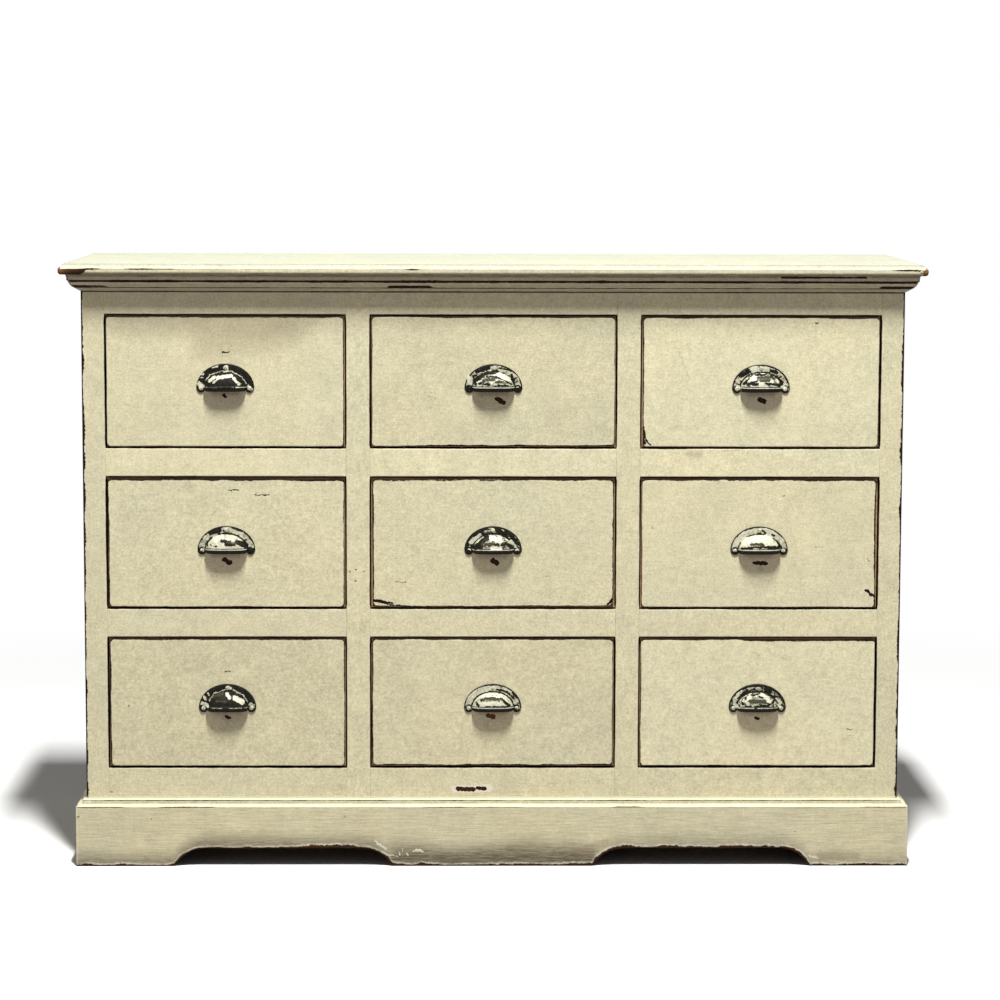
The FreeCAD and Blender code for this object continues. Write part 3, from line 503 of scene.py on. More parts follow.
def grid_stations(length, start=0.0, fine_end=True, step=GRID_STEP):
    """Stations over a length from start, closer together at the ends."""
    near = [s for s in RING_STEPS if s < length / 2]
    end = near if fine_end else [0.0]
    low, high = near[-1], length - end[-1]
    count = max(int(round((high - low) / step)), 1)
    between = [low + (high - low) * i / count for i in range(1, count)]
    return [start + s for s in near + between + [length - s for s in reversed(end)]]


def rounded_depth(distance, radius):
    """How far a rounded arris falls back at this distance from it."""
    if distance >= radius:
        return 0.0
    return radius - math.sqrt(max(radius * radius - (radius - distance) ** 2, 0.0))


def in_from_corner(gap_u, gap_v, radius):
    """Distances from two sides, pulled onto a rounded corner between them, and the way in."""
    inner_u, inner_v = radius - gap_u, radius - gap_v
    if inner_u > 0 and inner_v > 0:
        reach = math.hypot(inner_u, inner_v)
        pull = max(inner_u, inner_v) / reach
        return radius - inner_u * pull, radius - inner_v * pull, (inner_u / reach, inner_v / reach)
    return gap_u, gap_v, (1, 0) if gap_u < gap_v else (0, 1)


class Pieces:
    """Collects loose parts of one object, with their vertex attributes."""

    NAMES = ("edge", "wear", "bare", "joint", "depth", "board", "dirt")

    def __init__(self):
        self.points, self.faces, self.slots = [], [], []
        self.marks = {name: [] for name in self.NAMES}

    def point(self, place, **marks):
        self.points.append(place)
        values = {"edge": FAR, "joint": FAR, **marks}
        for name in self.NAMES:
            self.marks[name].append(values.get(name, 0.0))
        return len(self.points) - 1

    def face(self, corners, slot=0):
        if len(set(corners)) == len(corners):
            self.faces.append(tuple(corners))
            self.slots.append(slot)

    def strips(self, rows, closed=True, slot=0):
        """Joins each row of points to the next one with quads."""
        count = len(rows[0])
        for first, second in zip(rows, rows[1:]):
            for i in range(count if closed else count - 1):
                j = (i + 1) % count
                self.face((first[i], first[j], second[j], second[i]), slot)

    def closed_strips(self, rows):
        """Rings joined to a tube, with a flat face over each end."""
        self.strips(rows)
        self.face(rows[0][::-1])
        self.face(rows[-1])

    def slab(self, columns, rows, face_point, levels, back_point, slot=0):
        """A sheet over a grid, whose border runs back through levels to a flat back.

        face_point(column, row) and back_point(number of the border's point, level) each add one point.
        """
        sheet = [[face_point(column, row) for column in columns] for row in rows]
        self.strips(sheet, closed=False)
        rising, falling = [row[-1] for row in sheet[1:-1]], [row[0] for row in sheet[-2:0:-1]]
        border = sheet[0] + rising + sheet[-1][::-1] + falling
        rings = [border] + [[back_point(number, level) for number in border] for level in levels]
        self.strips(rings, slot=slot)
        self.face(rings[-1][::-1])

    def build(self, name, materials, body, slot, *nodes):
        """The finished object, which rides on a body and stands for these nodes."""
        mesh = bpy.data.meshes.new(name)
        mesh.from_pydata([tuple(p) for p in self.points], [], self.faces)
        for label, values in self.marks.items():
            layer = mesh.attributes.new(label, "FLOAT", "POINT")
            layer.data.foreach_set("value", values)
        for material in materials:
            mesh.materials.append(material)
        mesh.polygons.foreach_set("material_index", self.slots)
        mesh.polygons.foreach_set("use_smooth", [True] * len(self.faces))
        mesh.set_sharp_from_angle(angle=FLAT_ANGLE)
        mesh.validate()
        thing = bpy.data.objects.new(name, mesh)
        bpy.context.scene.collection.objects.link(thing)
        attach(thing, body)
        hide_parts(*nodes)

    def build_carcase(self, node, *materials):
        self.build(f"painted_{node}", materials, ROOT, "cream_paint", node)


def solid_boxes(node):
    """(lowest corner, highest corner) of each loose solid of a CAD node, from the bottom left."""
    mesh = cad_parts[node].data
    keys = [tuple(round(c, 5) for c in vertex.co) for vertex in mesh.vertices]
    owner = {key: key for key in keys}

    def root(key):
        while owner[key] != key:
            key = owner[key]
        return key

    for polygon in mesh.polygons:
        first, *others = [keys[i] for i in polygon.vertices]
        for key in others:
            owner[root(key)] = root(first)
    groups = {}
    for key in owner:
        groups.setdefault(root(key), []).append(key)
    boxes = [[Vector([pick(axis) for axis in zip(*keys)]) for pick in (min, max)] for keys in groups.values()]
    return sorted(boxes, key=lambda pair: (round(pair[0].z, 3), pair[0].x))


# The face frame

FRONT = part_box("outer_stiles")[0].y
HALF_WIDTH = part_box("outer_stiles")[1].x
FRAME_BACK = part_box("outer_stiles")[1].y


def find_openings():
    """The drawer openings, from the stiles and rails around them: left, right, bottom, top."""
    stiles = sorted(solid_boxes("outer_stiles") + solid_boxes("mid_stiles"), key=lambda pair: pair[0].x)
    levels = ("bottom_rails", "lower_drawer_rails", "upper_drawer_rails", "top_rails")
    heights = [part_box(node) for node in levels]
    openings = {}
    for row, (below, above) in zip(reversed(ROWS), zip(heights, heights[1:])):
        for column, (left, right) in zip(COLUMNS, zip(stiles, stiles[1:])):
            openings[row, column] = (left[1].x, right[0].x, below[1].z, above[0].z)
    return openings


OPENINGS = find_openings()
ARRIS_ROUND = 1.5 * MM
CORNER_ROUND = 1.2 * MM
EDGE_WANDER = 0.45 * MM
FACE_WANDER = 0.24 * MM
FRAME_WEAR = 0.55 * MM
OUTER_WEAR = 3.0 * MM
FRAME_RINGS = (2.5 * MM, 6.0 * MM, FRAME_BACK - FRONT)
# How far from an opening the wandering of its edge is felt, and how near to a corner it starts and is full
WANDER_REACH = 7.0 * MM
CORNER_CALM = (1.0 * MM, 9.0 * MM)
# Distance from the moulding and half width of the two lines painted along the frame: a painted shadow under
# the cornice and a painted highlight above the plinth cap
CORNICE_SHADOW = (0.7 * MM, 1.0 * MM)
CAP_LIGHT = (1.4 * MM, 1.3 * MM)


def nearest_opening(x, z):
    """Distance from a frame point to the nearest opening, and the direction away from it."""
    best, away = FAR, (0.0, 0.0)
    for left, right, bottom, top in OPENINGS.values():
        dx = x - right if x > right else (x - left if x < left else 0.0)
        dz = z - top if z > top else (z - bottom if z < bottom else 0.0)
        distance = math.hypot(dx, dz)
        if distance < best:
            best = distance
            away = (dx / distance, dz / distance) if distance > 1e-6 else None
    return best, away


def frame_board(parts, low, high, board, at_corner):
    """One stile or rail: a gently uneven face, arrises worn round along the openings."""
    upright = high.z - low.z > high.x - low.x
    columns, rows = grid_stations(high.x - low.x, low.x), grid_stations(high.z - low.z, low.z)

    def face_point(x, z):
        opening, away = nearest_opening(x, z)
        corner = abs(abs(x) - HALF_WIDTH) if at_corner else FAR
        if away is None:
            side_x = -1 if x == columns[0] else 1 if x == columns[-1] else 0
            side_z = -1 if z == rows[0] else 1 if z == rows[-1] else 0
            away = (-side_x, 0) if upright else (0, -side_z)
        near_corner = min(
            max(min(abs(x - left), abs(x - right)), min(abs(z - bottom), abs(z - top)))
            for left, right, bottom, top in OPENINGS.values()
        )
        wander = unevenness(EDGE_WANDER, x, z, scale=16.0, seed=board)
        wander *= 1.0 - smooth_share(opening, 0.0, WANDER_REACH)
        wander *= smooth_share(near_corner, *CORNER_CALM)
        y = FRONT + max(rounded_depth(opening, ARRIS_ROUND), rounded_depth(corner, CORNER_ROUND))
        y += unevenness(FACE_WANDER, x, z, scale=14.0, seed=board + 9)
        joint = FAR
        if not (upright and any(bottom < z < top for _, _, bottom, top in OPENINGS.values())):
            joint = min(x - low.x if low.x > -HALF_WIDTH + MM else FAR,
                        high.x - x if high.x < HALF_WIDTH - MM else FAR)
        return parts.point(
            (x + away[0] * wander, y, z + away[1] * wander), edge=min(opening, corner),
            wear=FRAME_WEAR if opening < corner else OUTER_WEAR, joint=joint, board=board,
        )

    def back_point(number, back):
        x, _, z = parts.points[number]
        outer = at_corner and abs(abs(x) - HALF_WIDTH) < 2 * MM
        return parts.point(
            (x, FRONT + back, z), edge=back - CORNER_ROUND if outer else back,
            wear=0.6 * OUTER_WEAR if outer else FRAME_WEAR, depth=0.0 if outer else back, board=board,
        )

    parts.slab(columns, rows, face_point, FRAME_RINGS, back_point)


def frame_lines():
    """The painted shadow line under the cornice and the painted highlight above the plinth cap."""
    under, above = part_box("cornice_front")[0].z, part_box("plinth_cap_front")[1].z
    return [
        (kind, (-HALF_WIDTH, FRONT, z), (HALF_WIDTH, FRONT, z), half_width)
        for kind, z, half_width in (
            ("line", under - CORNICE_SHADOW[0], CORNICE_SHADOW[1]),
            ("pale", above + CAP_LIGHT[0], CAP_LIGHT[1]),
        )
    ]


def make_face_frame():
    number = 0
    for node, along, level in (
        ("outer_stiles", "Z", 1.0), ("mid_stiles", "Z", 1.0), ("top_rails", "X", 1.0),
        ("upper_drawer_rails", "X", 1.07), ("lower_drawer_rails", "X", 1.02), ("bottom_rails", "X", 1.0),
    ):
        parts = Pieces()
        for low, high in solid_boxes(node):
            number += 1
            frame_board(parts, low, high, number * 0.37, node == "outer_stiles")
        marks = placed(FRAME_MARKS.get(node, {}), FRONT) + frame_lines()
        parts.build_carcase(node, painted_wood(f"{node}_paint", along, marks=marks, level=level))


# Drawers

SLAB_DEPTH = 6.0 * MM
SLAB_RINGS = (3.4 * MM, SLAB_DEPTH)
FRONT_CORNER = 6.5 * MM
FRONT_ROUND = 1.8 * MM
DRAWER_GAP = 2.0 * MM
DRAWER_WANDER_REACH = 9.0 * MM
DRAWER_WEAR = 0.35 * MM
# How much of the dark line is the worn arrises beside the gap, and the least that a side wanders
LINE_GAIN = 0.6 * MM
LEAST_WANDER = 0.3 * MM
# How bright each drawer's paint is, and the dark line's width round it in pixels: left, right, bottom, top
DRAWER_LOOKS = {
    "top_left": (1.0, (2.0, 2.8, 2.0, 3.4)), "top_centre": (0.94, (2.7, 2.5, 3.4, 2.9)),
    "top_right": (1.05, (3.0, 2.5, 2.1, 3.0)), "middle_left": (1.0, (3.2, 2.8, 2.6, 4.7)),
    "middle_centre": (1.0, (3.8, 3.4, 3.5, 4.1)), "middle_right": (1.02, (2.4, 4.3, 2.3, 4.2)),
    "bottom_left": (0.94, (3.4, 2.7, 2.2, 3.0)), "bottom_centre": (0.97, (3.1, 2.8, 3.9, 2.9)),
    "bottom_right": (1.09, (2.5, 2.1, 2.5, 4.0)),
}


def drawer_slab(parts, low, high, board, lines):
    """The painted part of a drawer front, with rounded corners and wandering, worn arrises."""
    width, tall = high.x - low.x, high.z - low.z
    half_x, half_z = width / 2, tall / 2
    centre_x, centre_z = (low.x + high.x) / 2, (low.z + high.z) / 2
    left, right, bottom, top = (max(line * PIXEL - DRAWER_GAP - LINE_GAIN, LEAST_WANDER) for line in lines)

    def face_point(u, v):
        """Pulls a place of the square grid onto the rounded outline, which wanders in from the opening."""
        sign_u, sign_v = math.copysign(1, u), math.copysign(1, v)
        distance = min(half_x - abs(u), half_z - abs(v))
        gap_u, gap_v, way = in_from_corner(half_x - abs(u), half_z - abs(v), FRONT_CORNER)
        x, z = centre_x + sign_u * (half_x - gap_u), centre_z + sign_v * (half_z - gap_v)
        extra = way[0] * (right if sign_u > 0 else left) + way[1] * (top if sign_v > 0 else bottom)
        wander = unevenness(0.9 * extra, x, z, scale=13.0, seed=board)
        wander += unevenness(0.5 * MM, x, z, scale=45.0, seed=board + 3)
        wander *= 1.0 - smooth_share(distance, 0.0, DRAWER_WANDER_REACH)
        radius = FRONT_ROUND * (1 + 0.5 * wobble(x, z, scale=24.0, seed=board + 5))
        y = FRONT + rounded_depth(distance, radius) + unevenness(0.3 * MM, x, z, scale=12.0, seed=board + 9)
        return parts.point(
            (x - sign_u * way[0] * wander, y, z - sign_v * way[1] * wander),
            edge=distance, wear=DRAWER_WEAR + 0.5 * extra, board=board,
        )

    def back_point(number, back):
        x, _, z = parts.points[number]
        return parts.point((x, FRONT + back, z), edge=back, wear=MM, depth=back, board=board)

    columns, rows = grid_stations(width, -half_x), grid_stations(tall, -half_z)
    parts.slab(columns, rows, face_point, SLAB_RINGS, back_point)


def block(parts, outline, y_start, y_end, slot, board):
    """A prism from an X and Z outline, between two depths."""
    first, second = ([parts.point((x, y, z), board=board) for x, z in outline] for y in (y_start, y_end))
    parts.strips([first, second], slot=slot)
    parts.face(first[::-1], slot)
    parts.face(second, slot)


BOX_SIDE = 12.0 * MM
DOVETAIL_COUNT = 3
TAIL_TIP_SHARE = 0.7
TAIL_SLOPE_SHARE = 0.17


def drawer_pins(parts, low, high, box, board):
    """The pins left between the dovetails at each end of a drawer front, and the core between the ends."""
    box_low, box_high = box
    front, back = FRONT + SLAB_DEPTH, high.y
    pitch = (box_high.z - box_low.z) / DOVETAIL_COUNT
    half_tip = pitch * TAIL_TIP_SHARE / 2
    half_root = half_tip - (back - front) * TAIL_SLOPE_SHARE
    edges = [(low.z, low.z)]
    for number in range(DOVETAIL_COUNT):
        middle = box_low.z + (number + 0.5) * pitch
        edges += [(middle - half_tip, middle - half_root), (middle + half_tip, middle + half_root)]
    edges.append((high.z, high.z))
    inner_left, inner_right = low.x + BOX_SIDE, high.x - BOX_SIDE
    for start, finish in ((low.x, inner_left), (inner_right, high.x)):
        for (tip_low, root_low), (tip_high, root_high) in zip(edges[::2], edges[1::2]):
            outline = ((front, tip_low), (front, tip_high), (back, root_high), (back, root_low))
            ids = [parts.point((x, y, z), board=board) for x in (start, finish) for y, z in outline]
            for quad in ((0, 1, 2, 3), (7, 6, 5, 4), (0, 4, 5, 1), (1, 5, 6, 2), (2, 6, 7, 3), (3, 7, 4, 0)):
                parts.face([ids[i] for i in quad], 1)
    core = [(inner_left, low.z), (inner_right, low.z), (inner_right, high.z), (inner_left, high.z)]
    block(parts, core, front, back, 1, board)


def make_drawers(pine_front, pine_box, pine_back):
    for number, (row, column) in enumerate(OPENINGS):
        key = f"{row}_{column}"
        low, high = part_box(f"drawer_front_{key}")
        board = 1.3 + number * 0.61
        level, lines = DRAWER_LOOKS[key]
        parts = Pieces()
        drawer_slab(parts, low, high, board, lines)
        drawer_pins(parts, low, high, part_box(f"drawer_box_{key}"), board)
        finish = painted_wood(f"drawer_paint_{key}", "X", marks=drawer_marks(key), level=level)
        parts.build(
            f"painted_drawer_front_{key}", [finish, pine_front], f"drawer_{key}", "cream_paint",
            f"drawer_front_{key}",
        )
        dress_node(f"drawer_box_{key}", pine_box, pine_back)


# Flat panels, for the carcase's ends and the plinth's

PANEL_RING = 3.0 * MM


def flat_panel(parts, origin, side, spans, thickness, worn, wear, board, bare=0.0, joints=(),
               upright_wear=None, dirt_top=0.0, mitred=False):
    """An upright board that faces left or right; worn and joints name its left, right, bottom or top edges.

    upright_wear is the wear of its left and right edges where that differs, the argument after it is how high
    the board darkens from its bottom edge, and a mitred board slants back from its front edge.
    """
    width, tall = spans
    out, across = Vector((side, 0, 0)), BACKWARD * side
    front = min(origin.y, (origin + across * width).y)

    def face_point(u, v):
        gaps = {"left": u, "right": width - u, "bottom": v, "top": tall - v}
        edge, joint = (min([gaps[name] for name in names] + [FAR]) for names in (worn, joints))
        low_edge = upright_wear is None or edge == gaps["bottom"]
        dirt = 0.7 * (1 - smooth_share(v, 2.0 * MM, dirt_top)) if dirt_top else 0.0
        fall = rounded_depth(edge, ARRIS_ROUND) + unevenness(FACE_WANDER, u, v, scale=12.0, seed=board)
        return parts.point(
            origin + across * u + UP * v - out * fall, edge=edge, wear=wear if low_edge else upright_wear,
            bare=bare, joint=joint, board=board, dirt=dirt,
        )

    def back_point(number, back):
        flat = Vector(parts.points[number])
        if mitred and flat.y < front + MM:
            flat.y += back
        flat -= out * ((flat - origin).dot(out) + back)
        return parts.point(flat, edge=back, wear=wear, bare=bare, board=board)

    parts.slab(grid_stations(width), grid_stations(tall), face_point, (PANEL_RING, thickness), back_point)


def make_ends():
    """The two side boards of the carcase, rebated at the back for the back boards."""
    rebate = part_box("back_boards")[0]
    for node, side, seam, free in (("left_side", -1, "right", "left"), ("right_side", 1, "left", "right")):
        low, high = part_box(node)
        parts = Pieces()
        start = Vector((low.x if side < 0 else high.x, low.y if side > 0 else high.y, low.z))
        flat_panel(
            parts, start, side, (high.y - low.y, high.z - low.z), HALF_WIDTH + rebate.x,
            (free,), FRAME_WEAR, 4.7 + side, joints=(seam,),
        )
        inner = sorted([side * -rebate.x, low.x if side > 0 else high.x])
        corners = list(zip(inner + inner[::-1], (low.z, low.z, high.z, high.z)))
        block(parts, corners, low.y, rebate.y, 0, 4.7 + side)
        parts.build_carcase(node, painted_wood(f"{node}_paint", "Z"))


# Top board

TOP_BEVEL = 8.0 * MM
TOP_CORNER = 4.0 * MM
TOP_ROUND = 5.0 * MM
TOP_STEP = 14.0 * MM
TOP_ARRIS = 0.7 * MM
ROUND_STEPS = 5
EDGE_RINGS = (0.6 * MM, 1.4 * MM)
LIP_WEAR = 1.0 * MM
LIP_PLAIN_WEAR = 0.15 * MM
# How far the timber is bare from the front corners' tips: on the bevel, and on the edge below it at each end
BARE_BEVEL = 8.0 * MM
BARE_EDGES = (38.0 * MM, 13.0 * MM)
# Where the bevel's lower arris is worn to a dark line, in pixels across the photograph, and their row in it
LIP_LINES = ((80, 102), (128, 176), (410, 415), (499, 502), (896, 922))
LIP_ROW = 270


def make_top_board():
    low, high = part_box("top_board")
    parts = Pieces()
    board = 8.3
    half_x = (high.x - low.x) / 2
    columns = grid_stations(2 * half_x, -half_x, step=TOP_STEP)
    rows = grid_stations(high.y - low.y, low.y, step=TOP_STEP)
    extra = [TOP_BEVEL - TOP_ARRIS, TOP_BEVEL, TOP_BEVEL + TOP_ARRIS]
    columns = sorted(set(columns + [sign * (half_x - s) for s in extra for sign in (-1, 1)]))
    rows = sorted(set(rows + [low.y + s for s in extra]))
    dark_spans = spans_at(LIP_LINES, LIP_ROW, low.y)
    arris_level = high.z - TOP_BEVEL
    ways_in = {}

    def marks_at(x, y, z, distance):
        """A dark line on the bevel's lower arris in places, bare timber at the two front corners, painted
        shade on the rounded underside of the front edge, and a darker line along the bevel's upper arris.
        """
        run = math.hypot(half_x - abs(x), y - low.y)
        below = z < arris_level - 0.2 * MM
        arris = abs(distance - TOP_BEVEL)
        # Painted shade on the rounded underside of the front edge
        grime = smooth_share(low.z + TOP_ROUND - z, 0.8 * MM, 2.4 * MM)
        marks = {
            "edge": abs(z - arris_level), "joint": arris + 0.1 * MM,
            "wear": LIP_WEAR if within(x, dark_spans) else LIP_PLAIN_WEAR,
            "dirt": max(grime, 0.4 * (1 - smooth_share(arris, 0.8 * MM, 3.4 * MM))),
        }
        reach = BARE_EDGES[0 if x < 0 else 1] if below else BARE_BEVEL
        bareness = 1.0 - smooth_share(run, 0.4 * reach, reach)
        if bareness > 0.02:
            sunk = smooth_share(arris_level - z, 0.0, arris_level - low.z)
            dark = 0.75 * smooth_share(run, 4.0 * MM, 15.0 * MM) if below else 0.0
            bare = min(1.0, bareness * 1.8) * (0.9 - 0.5 * sunk) * (1.0 - dark)
            marks.update(edge=run, wear=reach * 0.8, bare=bare)
        return marks

    def face_point(x0, y0):
        """Pulls a place of the square grid onto the rounded front corners and down the bevel."""
        sign = math.copysign(1, x0)
        distance = min(half_x - abs(x0), y0 - low.y)
        gap_x, gap_y, way = in_from_corner(half_x - abs(x0), y0 - low.y, TOP_CORNER)
        x, y = sign * (half_x - gap_x), low.y + gap_y
        fall = max(TOP_BEVEL - distance, 0.0) * 0.97 + max(0.9 * MM - abs(distance - TOP_BEVEL), 0.0) * 0.3
        z = high.z - fall - unevenness(0.4 * MM, x, y, scale=7.0, seed=board)
        number = parts.point((x, y, z), board=board, **marks_at(x, y, z, distance))
        ways_in[number] = (-sign * way[0], way[1]) if distance < high.y - y else (0, 0)
        return number

    def edge_point(number, inset_and_level):
        inset, level = inset_and_level
        x, y, _ = parts.points[number]
        way = ways_in[number]
        if y > high.y - MM:
            way = (-math.copysign(1, x), 0) if half_x - abs(x) < MM else (0, 0)
        place = (x + way[0] * inset, y + way[1] * inset, low.z + level)
        return parts.point(place, board=board, **marks_at(x, y, low.z + level, FAR))

    levels = [(0.0, arris_level - low.z - fall) for fall in EDGE_RINGS] + [(0.0, TOP_ROUND)]
    for number in range(1, ROUND_STEPS + 1):
        turn = math.pi / 2 * number / ROUND_STEPS
        levels.append((TOP_ROUND * (1 - math.cos(turn)), TOP_ROUND * (1 - math.sin(turn))))
    parts.slab(columns, rows, face_point, levels, edge_point, slot=1)
    # One paint in two copies: the shaded copy on the top face, against its strong light, and the front's
    # cream on the edge below
    parts.build_carcase(
        "top_board", painted_wood("top_paint", "X", 0.8, creams=TOP_CREAMS_DIMMED),
        painted_wood("top_edge_paint", "X", 0.8, level=0.98),
    )


# Mouldings

MITRE_RUN = 60.0 * MM
LONGEST_STRETCH = 2.2 * MM
TIP_RUN = 3.5 * MM
TIP_SHARE = 0.1
FRONT_STEP = 12.0 * MM
SIDE_STEP = 14.0 * MM
BACK_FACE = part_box("top_board")[1].y


def arc_points(start, through, finish, steps):
    """Points on the arc from start through a point to finish, without its start."""
    (ax, ay), (bx, by), (cx, cy) = start, through, finish
    a, b, c = (x * x + y * y for x, y in (start, through, finish))
    d = 2 * (ax * (by - cy) + bx * (cy - ay) + cx * (ay - by))
    ux = (a * (by - cy) + b * (cy - ay) + c * (ay - by)) / d
    uy = (a * (cx - bx) + b * (ax - cx) + c * (bx - ax)) / d
    radius = math.hypot(ax - ux, ay - uy)
    first, middle, last = (math.atan2(y - uy, x - ux) for x, y in (start, through, finish))
    turn = (last - first) % (2 * math.pi)
    if (middle - first) % (2 * math.pi) > turn:
        turn -= 2 * math.pi
    angles = [first + turn * i / steps for i in range(1, steps + 1)]
    return [(ux + radius * math.cos(angle), uy + radius * math.sin(angle)) for angle in angles]


def filled(points):
    """The same outline with long straight stretches divided."""
    result = [points[0]]
    for start, finish in zip(points, points[1:]):
        count = max(int(math.ceil(math.dist(start, finish) / LONGEST_STRETCH)), 1)
        for i in range(1, count + 1):
            result.append(tuple(s + (f - s) * (i / count) for s, f in zip(start, finish)))
    return result


def worn_tip(t, out):
    """How far a mitred corner is rubbed back, most where it stands out furthest."""
    return TIP_SHARE * out * (1 - smooth_share(t, 0.0, TIP_RUN))


def front_station(t, out):
    """A place along the front, t from the left corner; the ends lean out to the mitres."""
    lean = max(1 - t / MITRE_RUN, 0.0)
    other = max(1 - (2 * HALF_WIDTH - t) / MITRE_RUN, 0.0)
    x = t - HALF_WIDTH + out * (other - lean)
    blunt = worn_tip(min(t, 2 * HALF_WIDTH - t), out)
    return (x - math.copysign(blunt, x), FRONT - out + blunt), min(t, 2 * HALF_WIDTH - t)


def side_station(side):
    """Places along one end of the carcase, t from the front corner."""
    def station(t, out):
        blunt = worn_tip(t, out)
        y = FRONT + t - out * max(1 - t / MITRE_RUN, 0.0)
        return (side * (HALF_WIDTH + out - blunt), y + blunt), t
    return station


FRONT_RUN = grid_stations(2 * HALF_WIDTH, step=FRONT_STEP)
SIDE_RUN = grid_stations(BACK_FACE - FRONT, fine_end=False, step=SIDE_STEP)


def make_moulding(name, node, outline, base, marks_of, board, uneven):
    """Runs an outline, out and up from the carcase, along the front and both ends, with mitred corners."""
    sides = [(SIDE_RUN, side_station(side), board + 1.1 + side) for side in (-1, 1)]
    for suffix, label, along, runs in (
        ("front", "", "X", [(FRONT_RUN, front_station, board)]), ("returns", "_return", "Y", sides),
    ):
        parts = Pieces()
        for run, station, shift in runs:
            rows = []
            for t in run:
                row = []
                for out, up in outline:
                    place, corner = station(t, out)
                    marks = marks_of(out, up, place[0], corner)
                    row.append(parts.point((*place, base + up), board=shift, **marks))
                rows.append(row)
            parts.closed_strips(rows)
        finish = painted_wood(f"{name}{label}_paint", along, 0.9, uneven=uneven)
        parts.build_carcase(f"{node}_{suffix}", finish)


# The cornice's outline as shares of its projection and height, from its top front corner down
CORNICE_COVE = ((1.0, 1.0), (0.94, 0.84), (0.93, 0.66))
CORNICE_BELLY = ((0.85, 0.62), (0.73, 0.42), (0.52, 0.24))
CORNICE_FOOT = ((0.47, 0.22), (0.03, 0.0))
# How far the dark wood reaches, in millimetres, from the belly's start, the cove's end and the foot's ends;
# at the foot's back end, where the cornice meets the rail, the dark line is painted shadow in place of a gap
QUIRK_REACHES = (2.3, 0.6, 1.2, 1.4)
# Dark lines on the cornice's belly and in its cove: their place in the outline, and where they show, in
# pixels across the photograph, with their row in it and their reach in millimetres
BELLY_CRACK = (0.62, 0.31)
BELLY_LINES = ((60, 107), (124, 129), (388, 432), (881, 916))
BELLY_ROW = 286
BELLY_REACH = 2.2
COVE_CRACK = (0.945, 0.9)
COVE_LINES = ((776, 873),)
COVE_ROW = 276.5
COVE_REACH = 1.6
CORNICE_TIP = 2.5 * MM
CORNICE_TIP_WEAR = 1.1 * MM


def make_cornice():
    low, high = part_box("cornice_front")
    projection, tall = FRONT - low.y, high.z - low.z

    def scaled(shares):
        return [(out * projection, up * tall) for out, up in shares]

    cove, belly, foot = scaled(CORNICE_COVE), scaled(CORNICE_BELLY), scaled(CORNICE_FOOT)
    outline = filled(
        [(0.0, 0.0), (0.0, tall), cove[0], *arc_points(*cove, 6), belly[0], *arc_points(*belly, 8), *foot]
    )[:-1]
    belly_crack, cove_crack = scaled((BELLY_CRACK, COVE_CRACK))
    cracks = (
        (belly_crack, BELLY_REACH, spans_at(BELLY_LINES, BELLY_ROW, FRONT)),
        (cove_crack, COVE_REACH, spans_at(COVE_LINES, COVE_ROW, low.y)),
    )

    def marks_of(out, up, x, corner):
        """Dark wood shows in the quirk and in places on the belly and in the cove; the line along the foot is
        painted shadow, and the whole moulding is darkened with painted shade, most on its lower part and at
        the top of the cove.
        """
        # The reach from the foot's back end paints a shadow line where the cornice meets the rail
        lines = list(zip((belly[0], cove[-1], foot[-1], foot[0]), QUIRK_REACHES))
        lines += [(spot, reach) for spot, reach, spans in cracks if within(x, spans)]
        distances = [(math.dist((out, up), spot), reach * MM) for spot, reach in lines]
        edge, wear = max(distances, key=lambda pair: pair[1] - pair[0])
        # Painted shade: the cornice lies in the top board's shadow, so all of it is darkened and browned,
        # most on its lower part
        darkened = 0.6 - 0.26 * smooth_share(up, 0.24 * tall, 0.56 * tall)
        # Painted shade, darkest at the top of the cove under the top board's edge
        grime = max(smooth_share(up, 0.84 * tall, 0.9 * tall), darkened)
        marks = {"edge": edge, "wear": wear, "dirt": grime, "joint": tall - up - 0.6 * MM}
        if corner < CORNICE_TIP:
            marks.update(edge=corner, wear=CORNICE_TIP_WEAR, bare=0.4)
        return marks

    make_moulding("cornice", "cornice", outline, low.z, marks_of, 5.1, 0.5)


# The plinth cap's outline as shares of its projection and height, from its top down
CAP_OUTLINE = (
    (0.0, 1.0), (0.12, 1.0), (0.3, 0.93), (0.36, 0.85), (0.35, 0.78), (0.4, 0.74), (0.45, 0.38), (0.6, 0.3),
    (0.85, 0.13), (1.0, 0.02), (1.0, 0.0),
)
CAP_QUIRK = CAP_OUTLINE[4]
# Where a dark line shows under the cap's front edge, in pixels across the photograph, and its row in it
CAP_LINES = ((76, 126), (164, 214), (428, 520), (612, 640), (862, 906))
CAP_ROW = 807
# How far dark wood reaches from the cap's quirk and its lower front edge, in millimetres: where the line
# shows, and elsewhere
CAP_QUIRK_REACH = 0.7
CAP_EDGE_REACHES = (1.3, 0.1)
CAP_BARE_RUN = (2.0 * MM, 14.0 * MM)


